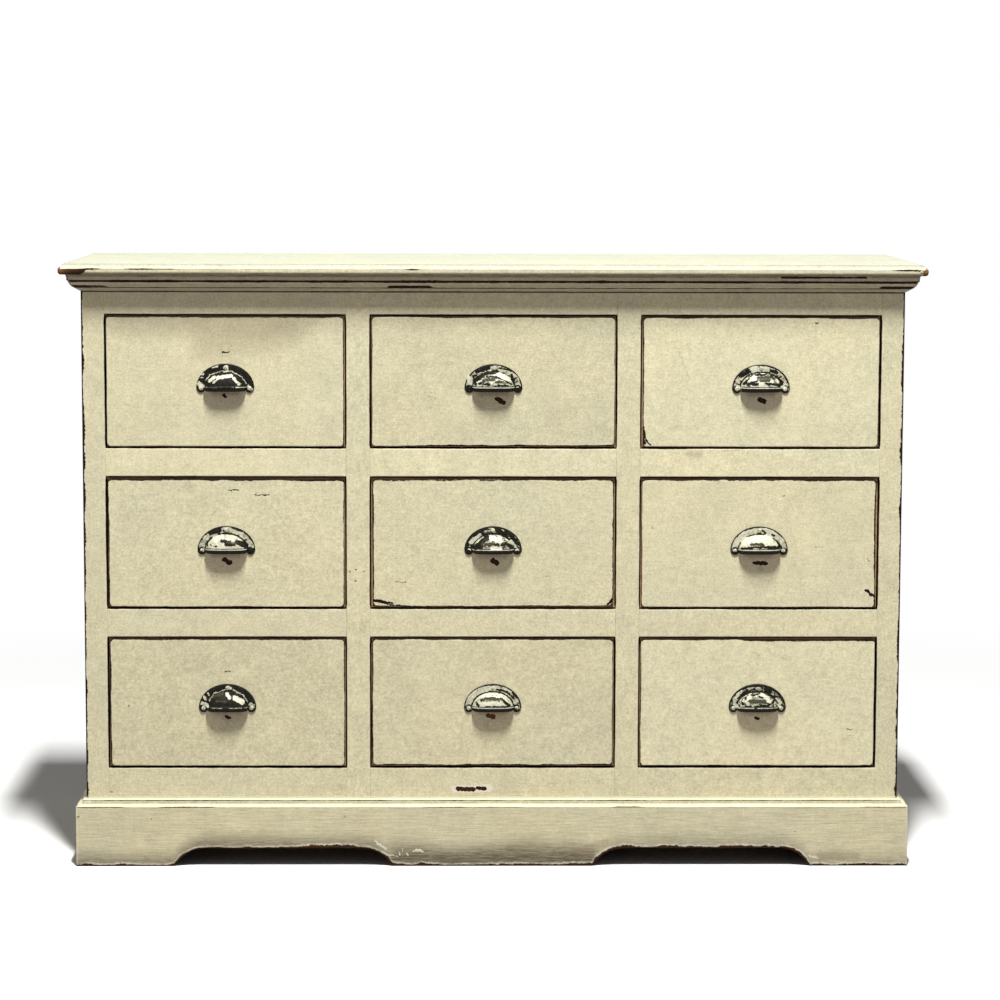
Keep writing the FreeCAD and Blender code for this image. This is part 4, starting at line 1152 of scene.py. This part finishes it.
def make_plinth_cap():
    low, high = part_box("plinth_cap_front")
    projection, tall = FRONT - low.y, high.z - low.z
    outline = [(out * projection, up * tall) for out, up in CAP_OUTLINE]
    outline = filled([(0.0, 0.0), *outline, (0.0, 0.0)])[:-1]
    quirk = (CAP_QUIRK[0] * projection, CAP_QUIRK[1] * tall)
    dark_spans = spans_at(CAP_LINES, CAP_ROW, low.y)

    def marks_of(out, up, x, corner):
        """A worn quirk, a darker band in the hollow below it, and bare wood towards the corners."""
        reach = CAP_EDGE_REACHES[0 if within(x, dark_spans) else 1]
        quirk_away, edge_away = math.dist((out, up), quirk), math.hypot(projection - out, up)
        edge, wear = min((quirk_away, CAP_QUIRK_REACH), (edge_away, reach))
        return {
            "edge": edge, "wear": wear * MM, "joint": min(tall - up + out, projection - out + up),
            "bare": 0.6 * (1 - smooth_share(corner, *CAP_BARE_RUN)),
            "dirt": 0.42 if 0.36 * tall < up < 0.8 * tall else 0.0,
        }

    make_moulding("cap", "plinth_cap", outline, low.z, marks_of, 7.1, 1.0)


# Plinth

ARCH_HEIGHT = 27.5 * MM
ARCH_SLOPE_LENGTH = 22.0 * MM
ARCH_TOP_ROUND = 55.0 * MM
OUTER_FOOT_LENGTH = 156.0 * MM
CENTRE_FOOT_LENGTH = 319.0 * MM
PLINTH_WEAR = 3.4 * MM
PLINTH_END_WEAR = 0.15 * MM
PLINTH_BARE = 0.12
PLINTH_ROUND = 2.6 * MM
PLINTH_RING = 4.0 * MM
PLINTH_STEP = 6.0 * MM
SLOPE_TURN = math.atan2(ARCH_HEIGHT, ARCH_SLOPE_LENGTH)
# Rows between the lower edge's closest ones and the top
UPPER_ROWS = 6
# The dirty stretch of the middle foot, in pixels across the photograph, and its row in it: start, darkest
# from, to, end
DIRTY_RUN = (376, 398, 588, 612)
DIRT_ROW = 855
DIRT_TOP = 52.0 * MM
EDGE_DARKENING_TOP = 34.0 * MM


def arch_rise(x, half_length):
    """The height of the plinth's lower edge at x, and the share of its length that a slope keeps level."""
    inner, outer = CENTRE_FOOT_LENGTH / 2, half_length - OUTER_FOOT_LENGTH
    reach = min(abs(x) - inner, outer - abs(x))
    if reach <= 0:
        return 0.0, 1.0
    level_start = ARCH_SLOPE_LENGTH + ARCH_TOP_ROUND * math.tan(SLOPE_TURN / 2)
    back = level_start - reach
    if back <= 0:
        return ARCH_HEIGHT, 1.0
    if back >= ARCH_TOP_ROUND * math.sin(SLOPE_TURN):
        return reach * math.tan(SLOPE_TURN), math.cos(SLOPE_TURN)
    fall = math.sqrt(ARCH_TOP_ROUND ** 2 - back ** 2)
    return ARCH_HEIGHT - ARCH_TOP_ROUND + fall, fall / ARCH_TOP_ROUND


def make_plinth_front():
    low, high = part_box("plinth_front")
    half, thickness, tall = high.x, high.y - low.y, high.z - low.z
    board = 9.4
    parts = Pieces()
    dirt_start, dirt_full, dirt_fading, dirt_end = spans_at([DIRTY_RUN], DIRT_ROW, low.y)[0]

    def darkening_at(x, z, up):
        """Darker towards the lower edge and more on the left, with grime worst along the middle foot's lower
        edge.
        """
        run = smooth_share(x, dirt_start, dirt_full) * (1 - smooth_share(x, dirt_fading, dirt_end))
        swell = 1 + 0.35 * wobble(x, 0.0, scale=9.0, seed=3.0)
        middle = 1.2 * run * (1 - smooth_share(z, 14.0 * MM, DIRT_TOP * swell))
        share = 0.95 - 0.35 * smooth_share(x, -0.25, 0.1)
        return max(middle, share * (1 - smooth_share(up, 2.0 * MM, EDGE_DARKENING_TOP * swell)))

    def face_point(x, row):
        rise, slope = arch_rise(x, half)
        wander = unevenness(1.8 * MM if rise > MM else 0.0, x, 0.0, scale=22.0, seed=2.0)
        floor = rise + wander * smooth_share(rise, 0.0, 6 * MM)
        up = RING_STEPS[min(row, len(RING_STEPS) - 1)]
        if row >= len(RING_STEPS):
            up += (tall - floor - up) * (row - len(RING_STEPS) + 1) / UPPER_ROWS
        edge, corner = up * slope, half - abs(x)
        fall = max(rounded_depth(edge, PLINTH_ROUND), rounded_depth(corner, ARRIS_ROUND))
        fall += unevenness(0.3 * MM, x, up, scale=12.0, seed=board)
        wear = PLINTH_END_WEAR
        if edge < corner:
            wear = PLINTH_WEAR * (1 + 0.3 * wobble(x, 0.0, scale=7.0, seed=5.0))
        return parts.point(
            (x, low.y + fall, floor + up), edge=min(edge, corner), wear=wear, bare=PLINTH_BARE,
            joint=tall - floor - up, board=board, dirt=darkening_at(x, floor + up, up),
        )

    def back_point(number, back):
        x, _, z = parts.points[number]
        lean = max(1 - (half - abs(x)) / MITRE_RUN, 0.0) * back
        place = (x - math.copysign(lean, x), low.y + back, z)
        return parts.point(place, edge=0.0, wear=PLINTH_WEAR, bare=PLINTH_BARE, board=board)

    columns = grid_stations(2 * half, -half, step=PLINTH_STEP)
    rows = range(len(RING_STEPS) + UPPER_ROWS)
    parts.slab(columns, rows, face_point, (PLINTH_RING, thickness), back_point)
    finish = painted_wood("plinth_paint", "X", 2.6, placed(PLINTH_MARKS, low.y), level=0.95, speckle=0.45)
    parts.build_carcase("plinth_front", finish)


def make_plinth_sides():
    parts = Pieces()
    for (low, high), side, rear in zip(solid_boxes("plinth_sides"), (-1, 1), ("left", "right")):
        near = low.y + ARRIS_ROUND
        start = Vector((low.x if side < 0 else high.x, near if side > 0 else high.y, low.z))
        flat_panel(
            parts, start, side, (high.y - near, high.z - low.z), high.x - low.x, (rear, "bottom"),
            PLINTH_WEAR, 10.2 + side, bare=PLINTH_BARE, upright_wear=PLINTH_END_WEAR,
            dirt_top=EDGE_DARKENING_TOP, mitred=True,
        )
    parts.build_carcase("plinth_sides", painted_wood("plinth_side_paint", "Y", 2.4, speckle=0.45))


# Cup handles

CUP_HALF_WIDTH = 32.5 * MM
CUP_PROJECTION = 18.0 * MM
CUP_HEIGHT = 25.5 * MM
CUP_WALL = 2.4 * MM
# The power of the sine and cosine in the cup's plan: at 1 it is half an ellipse, lower is squarer
CUP_CORNER_POWER = 0.67
# The rolled lip from the mouth's inner edge to the cup's side, in millimetres: out from the side, and up
# from the screws
LIP_SECTION = (
    (-2.3, -4.2), (-1.9, -4.5), (-1.3, -4.3), (-0.8, -3.0), (-0.35, -1.5), (0.05, -0.2), (0.45, 0.8),
    (0.85, 1.6), (0.97, 2.3), (0.85, 2.9), (0.45, 3.4), (0.0, 3.9), (-0.35, 4.7),
)
LIP_SHARPEST = (1.5 * MM, 3.1 * MM)
LIP_SHADOW = 1.6 * MM
FLANGE_THICKNESS = 2.0 * MM
FLANGE_WIDTH = 13.0 * MM
# The flange's section from the cup out, as shares of its width and thickness
FLANGE_SECTION = (
    (0.0, 0.0), (0.0, 1.7), (0.06, 1.25), (0.16, 1.05), (0.3, 1.0), (0.8, 1.0), (0.93, 0.85), (1.0, 0.45),
    (1.0, 0.0),
)
LOBE_RADIUS = 7.0 * MM
LOBE_OFFSET = 5.5 * MM
# The screws' round ears from the middle out, in millimetres: radius and distance from the drawer front
EAR_PROFILE = (
    (0.4, 2.4), (3.1, 2.4), (3.6, 2.4), (4.2, 2.38), (4.8, 2.35), (6.2, 2.0), (7.0, 1.1), (7.0, 0.0),
)
EAR_SEAT = 2.3 * MM
FLANGE_SEAT = 1.9 * MM
SCREW_RADIUS = 3.2 * MM
SCREW_HEIGHT = 1.6 * MM
SCREW_SUNK = 0.3 * MM
SLOT_HALF_WIDTH = 0.35 * MM
CUP_COLUMNS = 48
DOME_ROWS = 14
DOME_TOP = math.radians(86)
EAR_SIDES = 28
SCREW_SIDES = 12
SCREW_RINGS = 4


def cup_plan():
    """The cup's outline in plan at even steps, in shares of its half width and projection."""
    fine, lengths = [], [0.0]
    steps = 40 * CUP_COLUMNS
    for step in range(steps + 1):
        turn = math.pi * step / steps
        across = math.copysign(abs(math.cos(turn)) ** CUP_CORNER_POWER, -math.cos(turn))
        fine.append((across, max(math.sin(turn), 0.0) ** CUP_CORNER_POWER))
    for (x, y), (next_x, next_y) in zip(fine, fine[1:]):
        lengths.append(lengths[-1] + math.hypot((next_x - x) * CUP_HALF_WIDTH, (next_y - y) * CUP_PROJECTION))
    plan = []
    for spot, length in zip(fine, lengths):
        if length >= lengths[-1] * len(plan) / CUP_COLUMNS - 1e-9:
            plan.append(spot)
    return plan


def cup_section():
    """Rows up the cup, outside and inside: height, share of the cup's size, and how far they stand off it."""
    rows = []
    inner_height = CUP_HEIGHT - CUP_WALL
    lip = [(out * MM, up * MM) for out, up in LIP_SECTION]
    for out, z in lip:
        inside = math.sqrt(1 - (max(z, 0.0) / inner_height) ** 2)
        rows.append(((z, 1.0, out), (max(z, lip[0][1]), inside, 0.0)))
    first = math.asin((lip[-1][1] + 1.2 * MM) / CUP_HEIGHT)
    for number in range(DOME_ROWS + 1):
        turn = first + (DOME_TOP - first) * number / DOME_ROWS
        rows.append([(height * math.sin(turn), math.cos(turn), 0.0) for height in (CUP_HEIGHT, inner_height)])
    return rows


def cup_shell(parts, lip_paint):
    """The hollow cup, closed against the drawer front; the last argument favours cream along the top of the
    lip's roll, partly paint and partly a painted highlight.
    """
    plan, section = cup_plan(), cup_section()
    borders = []
    for side, wall in enumerate((0.0, CUP_WALL)):
        wide, far = CUP_HALF_WIDTH - wall, CUP_PROJECTION - wall
        rows = []
        for pair in section:
            z, scale, off = pair[side]
            favour = 0.0
            if side or z < LIP_SHARPEST[0]:
                favour = -0.6
            # The top of the lip's roll: cream that is partly paint and partly a painted highlight
            elif z < LIP_SHARPEST[1]:
                favour = lip_paint
            elif z < LIP_SHARPEST[1] + LIP_SHADOW:
                favour = -0.3
            row = []
            for across, out in plan:
                x, y = across * (wide * scale + off), -out * (far * scale + off)
                dent = unevenness(0.3 * MM, x, z, scale=90.0, seed=1.0)
                row.append(parts.point((x, min(y + dent, 0.0), z), bare=favour))
            rows.append(row)
        for first, second in zip(rows, rows[1:]):
            parts.strips([second, first] if side else [first, second], closed=False)
        parts.face(rows[-1][::-1] if side else rows[-1])
        borders.append(rows)
    outer, inner = borders
    parts.strips([inner[0], outer[0]], closed=False)
    left, right = ([[row[column] for row in rows] for rows in borders] for column in (0, -1))
    parts.strips(left, closed=False)
    parts.strips(right[::-1], closed=False)


def flange_plate(parts, half_width, tall):
    """The flat rim round the cup, with a small fillet at the cup and a softened outer edge."""
    steps = 2 * CUP_COLUMNS
    rows = []
    for number in range(steps, -1, -1):
        turn = math.pi * number / steps
        inner = Vector((CUP_HALF_WIDTH * math.cos(turn), CUP_HEIGHT * math.sin(turn))) * 0.97
        outer = Vector((half_width * math.cos(turn), tall * math.sin(turn)))
        row = []
        for share, level in FLANGE_SECTION:
            spot = inner.lerp(outer, share)
            favour = -0.22 * (1 - smooth_share(share, 0.1, 0.3))
            place = (spot.x, -FLANGE_THICKNESS * level, spot.y)
            row.append(parts.point(place, edge=(outer - spot).length, bare=favour))
        rows.append(row)
    parts.closed_strips(rows)


def ear(parts, centre_x):
    """A round ear for a screw, from its back to its middle."""
    rows = []
    for radius, out in ((radius * MM, out * MM) for radius, out in reversed(EAR_PROFILE)):
        row = []
        for step in range(EAR_SIDES):
            turn = 2 * math.pi * step / EAR_SIDES
            x, z = radius * math.cos(turn), radius * math.sin(turn)
            ring = -0.35 if SCREW_RADIUS < radius < SCREW_RADIUS + 1.2 * MM else 0.0
            shade = -0.4 * smooth_share(-z, 2.2 * MM, 4.0 * MM)
            row.append(parts.point((centre_x + x, -out, z), edge=LOBE_RADIUS - radius, bare=ring + shade))
        rows.append(row)
    parts.closed_strips(rows)


def screw_head(parts, x, z, seat, turn):
    """A domed head in two halves, with the driver's slot between them."""
    cosine, sine = math.cos(turn), math.sin(turn)
    for side in (-1, 1):
        rows = [[] for _ in range(SCREW_RINGS + 2)]
        for ring, row in enumerate(rows, -1):
            lift = math.pi / 2 * max(ring, 0) / SCREW_RINGS
            radius = SCREW_RADIUS * math.cos(lift)
            out = seat + SCREW_HEIGHT * (0.35 + 0.65 * math.sin(lift)) if ring >= 0 else seat - SCREW_SUNK
            for step in range(SCREW_SIDES + 1):
                angle = math.pi * step / SCREW_SIDES
                spread = radius * math.sin(angle) * (1 - SLOT_HALF_WIDTH / SCREW_RADIUS)
                u, v = side * (SLOT_HALF_WIDTH + spread), radius * math.cos(angle)
                row.append(parts.point((x + u * cosine - v * sine, -out, z + u * sine + v * cosine)))
        for first, second in zip(rows, rows[1:]):
            parts.strips([first, second] if side < 0 else [second, first], closed=False)
        base = rows[0]
        slot_wall = [row[0] for row in rows] + [row[-1] for row in reversed(rows[:-1])]
        parts.face(base if side > 0 else base[::-1])
        parts.face(slot_wall if side < 0 else slot_wall[::-1])


# Paint cover of each handle, and strokes of cream, bare iron or olive on it, in pixels of the photograph:
# start, end and half width
HANDLE_LOOKS = {
    "top_left": (0.1, {
        "cream": [
            (198, 383, 202, 387, 2.2), (199, 378, 202, 378, 0.6), (200.5, 375, 203, 374.5, 0.5),
            (212.5, 367.5, 217, 366.5, 0.8), (226, 367, 226.5, 369, 1.3), (223.5, 371.5, 231, 371.5, 0.6),
            (209.5, 381, 214.5, 377, 1.2), (218, 377.5, 231, 375.5, 1.5), (214, 382, 220, 377, 0.8),
            (233.5, 378, 239.5, 384, 1.2), (205.5, 381, 210, 375, 0.3), (210, 375, 222, 371.5, 0.3),
            (231, 371.5, 241, 377, 0.3), (241, 377, 246, 384, 0.3), (237, 387, 238, 387, 0.8),
            (248.5, 387, 251.5, 390.5, 1.9),
        ],
    }),
    "top_centre": (0.55, {
        "iron": [
            (476, 381, 481, 376, 0.9), (482, 374.5, 493, 373.5, 0.6), (486, 379.6, 494, 379, 0.8),
            (480, 383.7, 490, 384.6, 0.5), (498, 385, 508, 385.6, 0.5), (503, 379.5, 511, 384, 0.5),
            (477, 372, 488.5, 368, 1.8), (499.5, 368.5, 511.5, 371, 0.5), (473.5, 377.5, 476, 384.5, 0.9),
            (467, 388.5, 473.5, 390, 1.7), (511.5, 375, 514, 383, 0.8), (514.5, 390, 522, 389, 1.7),
            (521, 381, 523, 387, 0.7), (496, 382, 503, 381.5, 0.6), (478, 380, 484, 375.5, 0.6),
            (495, 377, 503, 379, 0.6), (479, 383, 484, 381, 0.7), (489, 376.5, 497, 377, 0.4),
        ],
        "cream": [(468, 377, 471, 384, 1.4), (499, 375, 508, 379, 2.2)],
        "olive": [(485, 379, 494, 379, 1.5), (498, 381.5, 505, 383, 0.9)],
    }),
    "top_right": (0.6, {
        "iron": [
            (758, 377.5, 770, 377, 0.7), (760, 380.6, 769, 380.6, 0.6), (741.5, 376, 750, 371, 2.1),
            (771, 371, 777, 373, 1.3), (776.5, 377, 783.5, 383, 0.9), (747, 383.5, 757, 384, 0.9),
            (766, 383.5, 782, 385, 1.1), (732.5, 387, 735, 392, 0.9), (747, 380, 753, 375.5, 0.7),
            (755, 375, 766, 374.8, 0.5), (771, 376, 777, 381, 0.6), (751, 383, 756, 381, 0.6),
            (744, 384, 749, 379, 0.8),
        ],
        "cream": [
            (752, 370, 768, 369.5, 1.8), (748, 380, 755, 377, 1.6), (771, 381, 777, 381, 1.4),
            (738, 387, 740, 389, 1.6), (783, 387, 785, 389, 1.6),
        ],
        "olive": [(758, 379, 769, 379, 2.0), (772, 378, 776, 383, 0.9)],
    }),
    "middle_left": (0.62, {
        "iron": [
            (210, 533, 219, 531, 2.3), (232.6, 528.3, 242.8, 531.5, 1.0), (245, 533.5, 248, 535.5, 0.8),
            (249, 551, 254, 551.5, 2.6), (254, 542, 255.5, 549, 1.1), (199.5, 553, 205, 554, 1.0),
            (222, 540.7, 230, 541.8, 1.2), (226, 544, 235, 544.5, 1.0), (237, 541.8, 246, 546, 1.9),
            (215.5, 546, 217, 546, 0.6), (207.3, 542.5, 207.6, 546, 0.5),
        ],
        "cream": [(214, 538, 222, 537, 1.6)],
        "olive": [(228, 542, 236, 543, 1.0)],
    }),
    "middle_centre": (0.48, {
        "iron": [
            (486, 543.5, 498, 544, 0.7), (474, 547, 480, 548, 0.7), (466.5, 545, 472, 537, 0.7),
            (472, 537, 487, 529, 0.7), (496.5, 530, 504, 535, 2.0), (506, 531, 519, 545, 1.4),
            (475.5, 547.5, 487, 537.5, 2.0), (466, 551, 472, 554, 1.8), (514, 553, 521.5, 553.5, 1.7),
            (505.5, 543, 512.5, 547.5, 0.9),
        ],
        "cream": [
            (471, 543, 480, 535, 1.5), (491, 538, 500, 541, 2.0), (492, 548, 501, 548, 1.4),
            (493, 531, 494, 532, 1.3), (511, 541, 516, 548, 0.8),
        ],
        "olive": [(482.5, 543.5, 492.5, 544, 1.1)],
    }),
    "middle_right": (0.7, {
        "iron": [
            (742, 548.3, 754, 547, 1.0), (754, 547, 768, 546.6, 0.8), (768, 547, 781, 547.5, 1.4),
            (751.5, 543.6, 763, 544.2, 1.0), (778, 543, 781, 548, 0.8), (762.5, 531, 766, 533.2, 0.8),
            (772.5, 535.5, 774.5, 536, 0.8), (735, 553, 739, 554, 0.9), (778.5, 552.5, 785, 554, 1.2),
        ],
        "cream": [(744, 541, 770, 538, 3.0)],
        "olive": [(751, 544, 763, 544.5, 1.2)],
    }),
    "bottom_left": (0.1, {
        "cream": [
            (214, 687, 214.5, 687.5, 0.5), (207.5, 694, 208.5, 696, 0.6), (203.5, 697, 205, 700, 0.8),
            (201, 704, 207, 706, 1.7), (228, 688, 230, 689, 1.4), (227, 694, 229.5, 697.5, 1.4),
            (235, 697.5, 242.5, 702, 2.1), (209, 701, 214, 694, 0.3), (214, 694, 226, 690.7, 0.3),
            (233, 691, 243, 696, 0.3), (243, 696, 247.5, 703, 0.3), (250.5, 705.5, 254.5, 707, 1.7),
        ],
        "olive": [(213, 697, 223, 693.5, 0.9), (217, 700.5, 226, 701, 0.9)],
    }),
    "bottom_centre": (0.66, {
        "iron": [
            (481, 700, 487, 698, 0.9), (487, 698, 502, 699, 1.0), (486, 706, 508, 706, 0.5),
            (497.5, 690.5, 507, 692.5, 0.8), (507, 692.5, 514, 699, 0.7), (513, 693.5, 518, 699, 1.0),
            (503, 700, 509, 705, 1.0), (476.5, 702.5, 479, 706, 0.8), (514, 710.5, 521, 712, 1.2),
        ],
        "cream": [(486, 703.5, 500, 703.5, 1.4)],
        "olive": [(483, 699.5, 502, 699, 1.3)],
    }),
    "bottom_right": (0.52, {
        "iron": [
            (750, 700.5, 765, 701.5, 1.3), (730.5, 701, 735, 693, 1.2), (735, 693, 750, 686.5, 1.1),
            (750, 686.5, 764, 686.5, 1.0), (764, 686.5, 778, 693, 1.2), (778, 693, 783.5, 702, 1.2),
            (739, 699, 745, 692.8, 0.7), (745, 692.8, 755, 690, 0.6), (765, 692, 772, 697, 0.6),
            (772, 697, 779, 704, 0.7), (745, 705.5, 749, 706, 0.6), (754.5, 706.5, 757.5, 706.5, 0.7),
            (742, 704, 747, 697, 0.8), (748, 696, 758, 694.5, 0.5), (768, 704.5, 774, 701, 0.9),
            (759, 697, 766, 697.5, 0.6), (760, 704.6, 768, 705, 0.6),
        ],
        "cream": [
            (744, 701, 750, 696, 1.2), (762, 695, 771, 702, 1.4), (736, 699, 742, 691, 0.7),
            (735, 705, 738, 708, 1.3), (777, 700, 780, 707, 1.2),
        ],
        "olive": [(751, 701, 765, 701.5, 2.0)],
    }),
}


def make_handles():
    lobe = CUP_HALF_WIDTH + LOBE_OFFSET
    top_screw = CUP_HEIGHT + FLANGE_WIDTH / 2
    screws = ((-lobe, 0.0, EAR_SEAT), (lobe, 0.0, EAR_SEAT), (0.0, top_screw, FLANGE_SEAT))
    for number, (key, (cover, strokes)) in enumerate(HANDLE_LOOKS.items()):
        low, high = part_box(f"cup_handle_{key}")
        level = low.z + LOBE_RADIUS
        spot = Vector(((low.x + high.x) / 2, FRONT, level))
        blobs = [
            (kind, (start[0], 0.0, start[2]), (end[0], 0.0, end[2]), half_width)
            for kind, start, end, half_width in placed(strokes, FRONT - 0.5 * CUP_PROJECTION)
        ]
        cup = Pieces()
        # More cream along the lip of the darker handles, a painted highlight there
        cup_shell(cup, 0.1 if cover > 0.3 else 0.2)
        flange_plate(cup, CUP_HALF_WIDTH + FLANGE_WIDTH, high.z - level)
        for x in (-lobe, lobe):
            ear(cup, x)
        heads = Pieces()
        for index, (x, z, seat) in enumerate(screws):
            screw_head(heads, x, z, seat, math.pi * (0.31 * number + 0.37 * index))
        for parts, name, finish, share, slot, node in (
            (cup, "cup", "handle_paint", cover, "painted_iron", "cup_handle"),
            (heads, "screw_heads", "screw_paint", 0.8, "screw_steel", "handle_screws"),
        ):
            parts.points = [Vector(point) + spot for point in parts.points]
            paint = painted_iron(f"{finish}_{key}", share, blobs)
            parts.build(f"{name}_{key}", [paint], f"drawer_{key}", slot, f"{node}_{key}")


# Carried-over pieces

SOFT_EDGE = 0.7 * MM


def dress_node(node, material, crosswise=None):
    """Gives a CAD node its finish, another for faces that look forwards or back, and softened arrises."""
    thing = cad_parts[node]
    thing.data.materials.clear()
    thing.data.materials.append(material)
    if crosswise is not None:
        thing.data.materials.append(crosswise)
        for polygon in thing.data.polygons:
            polygon.material_index = 1 if abs(polygon.normal.y) > 0.9 else 0
    soften = thing.modifiers.new("soft_edges", "BEVEL")
    soften.width = SOFT_EDGE
    soften.segments = 2
    soften.limit_method = "ANGLE"


# Marks in the paint by kind, in pixels of the photograph: start, end and half width

DRAWER_MARKS = {
    "top_left": {
        "flake": [(223.6, 394.8, 225.4, 396.8, 1.9), (222, 352.2, 229, 352.6, 0.6)],
        "nick": [(171, 393, 172, 393, 0.7)],
        "scratch": [(300, 381, 343, 381.5, 0.15)],
        # Painted shadow: the soft lower edge of the cornice's shadow across this drawer's top
        "shade": [(125, 320, 300, 320, 8.0), (205, 345, 285, 335, 3.0)],
    },
    "top_centre": {
        "red": [(497.5, 399, 503.5, 402.5, 2.3)],
        "flake": [
            (423, 385, 424, 385, 0.25), (428, 397, 429, 397, 0.3), (434, 399, 435, 399, 0.25),
            (599, 344, 601, 344, 0.3),
        ],
    },
    "top_right": {
        "red": [(759.5, 399.6, 764, 401.8, 2.5), (643, 428, 645, 443, 1.6), (646, 440, 650, 445, 1.0)],
        "scratch": [(676, 345, 690, 381, 0.25)],
        "flake": [(816, 323, 818, 323, 0.4)],
    },
    "middle_left": {
        "red": [(224.5, 559.6, 230, 562.6, 2.5)],
        "flake": [(228, 490, 239, 490, 0.5), (255, 495, 269, 495, 0.5)],
        "scratch": [
            (222, 502, 208, 523, 0.25), (271, 506, 288, 528, 0.25), (145, 558, 170, 585, 0.25),
            (310, 539, 343, 539, 0.2),
        ],
        "nick": [(339, 512, 341, 512, 0.7)],
    },
    "middle_centre": {
        "red": [(492.5, 560.4, 496.5, 563, 2.7)],
        "flake": [
            (371, 600, 392, 604, 1.6), (390, 605, 412, 607, 0.9), (608, 604, 613, 599, 1.3),
            (613, 520, 613.5, 548, 0.5), (613, 566, 613.5, 590, 0.6), (396, 582, 406, 582.5, 0.3),
            (546, 576, 548, 576, 0.4),
        ],
        "scratch": [(375, 480.5, 500, 480, 0.2), (520, 588, 590, 605, 0.2)],
    },
    "middle_right": {
        "red": [(754.5, 563, 765.5, 563.3, 1.8), (866, 590, 876, 598, 1.1)],
        "smudge": [(760, 568, 761, 568.5, 1.0)],
        "flake": [
            (783, 496, 785, 496, 0.4), (815, 547, 823, 547.5, 0.3), (652.5, 527, 653.5, 529, 0.3),
            (867.5, 559, 868.5, 561, 0.3),
        ],
        "nick": [(643, 572, 652, 572.5, 0.4)],
    },
    "bottom_left": {
        "smudge": [(225, 717, 229, 718.5, 1.6)],
        "flake": [(226, 716, 229, 718, 1.7), (225, 671.6, 230, 671.8, 0.6), (128.5, 706, 129.5, 706, 0.3)],
        "scratch": [(133, 698, 200, 698.5, 0.15)],
    },
    "bottom_centre": {
        "orange": [(488.5, 715.6, 493.5, 716.8, 2.4)],
        "scratch": [(513, 683, 608, 657, 0.2), (547, 689, 588, 681, 0.2)],
    },
    "bottom_right": {
        "flake": [
            (755.5, 718.2, 758.5, 718.4, 1.4), (846, 729.5, 853, 729.5, 0.3), (833.5, 720, 834.5, 720, 0.3),
            (849.5, 735, 850.5, 735, 0.3),
        ],
        "scratch": [(752, 652, 764, 658, 0.3), (756, 660, 761, 650, 0.25), (779, 656, 787, 660, 0.3)],
    },
}
FRAME_MARKS = {
    "upper_drawer_rails": {
        "nick": [(510, 456, 526, 456, 0.4), (545, 455.5, 560, 455.5, 0.35)],
        "flake": [(570.5, 456, 571.5, 456, 0.3)],
        "scratch": [(707, 453, 745, 449, 0.4)],
        "smudge": [(690, 454, 700, 454, 1.0)],
    },
    "lower_drawer_rails": {
        "scratch": [(218, 608, 232, 625, 0.25)],
    },
    "bottom_rails": {
        "nick": [(455, 789, 489, 788, 3.6)],
        "red": [(458, 789, 474, 789.5, 2.2), (478, 788, 485, 788.5, 1.8)],
        "flake": [(105, 792, 114, 792, 0.3)],
    },
    "mid_stiles": {
        "flake": [
            (349.5, 572, 350.5, 572, 0.5), (355.5, 569.5, 356.5, 569.5, 0.4), (363, 571, 364, 571, 0.4),
            (355, 581, 356, 581, 0.4),
        ],
        "nick": [(620, 655, 634, 700, 0.3), (618, 755, 633, 752, 0.3)],
    },
}
PLINTH_MARKS = {
    "nick": [
        (399, 850.5, 400, 855, 0.5), (402.5, 849, 403, 856, 0.35), (406, 853, 408, 855, 0.5),
        (413.5, 851, 416, 850, 0.9), (416.5, 849.8, 419, 850.4, 1.3), (419.5, 850.5, 422.5, 851.8, 0.8),
        (374, 841, 380, 845, 0.7), (379, 844, 386.5, 849, 0.9), (380, 852, 398, 857, 0.3),
        (809, 855.5, 813, 857.5, 0.6), (813, 857, 818, 858.5, 0.8), (743, 809, 743, 817, 0.45),
    ],
    "smudge": [(820, 856, 856, 856, 2.2), (575, 853, 605, 843, 2.2)],
    "flake": [
        (78, 817, 79.5, 816.5, 0.5), (145, 857, 146.5, 857, 0.45), (150, 819, 151, 819.5, 0.3),
        (795, 831, 796, 831.5, 0.35), (344, 816, 345.5, 816.5, 0.3),
    ],
}
GRIME_AND_SHADE_HALF_WIDTH = 3.5 * MM


def placed(marks, y):
    """Marks given in pixels of the photograph, as lines on the plane at y."""
    result = []
    for kind, strokes in marks.items():
        for x1, y1, x2, y2, half_width in strokes:
            (start_x, start_z), (end_x, end_z) = on_plane(x1, y1, y), on_plane(x2, y2, y)
            result.append((kind, (start_x, y, start_z), (end_x, y, end_z), half_width * PIXEL))
    return result


def drawer_marks(key):
    """The listed marks, and a darker band under the cup: the grime that fingers leave there, with painted
    shade.
    """
    low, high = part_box(f"cup_handle_{key}")
    middle, reach, level = (low.x + high.x) / 2, 0.5 * CUP_HALF_WIDTH, low.z + 0.5 * LOBE_RADIUS
    grime = ("grime", (middle - reach, FRONT, level), (middle + reach, FRONT, level), GRIME_AND_SHADE_HALF_WIDTH)
    return [grime] + placed(DRAWER_MARKS[key], FRONT)


make_camera()
make_lights()
make_floor()
make_face_frame()
make_drawers(
    raw_pine("drawer_front_pine", "X"), raw_pine("drawer_box_pine", "Y"), raw_pine("drawer_back_pine", "X")
)
make_ends()
make_top_board()
make_cornice()
make_plinth_cap()
make_plinth_front()
make_plinth_sides()
make_handles()
for node, along in (
    ("partitions", "Y"), ("bottom_board", "X"), ("back_boards", "Z"), ("drawer_runners", "Y"),
    ("drawer_guides", "Y"), ("drawer_kickers", "Y"), ("drawer_stops", "X"), ("plinth_back", "X"),
    ("glue_blocks", "Z"),
):
    dress_node(node, raw_pine(f"{node}_pine", along, 0.5))
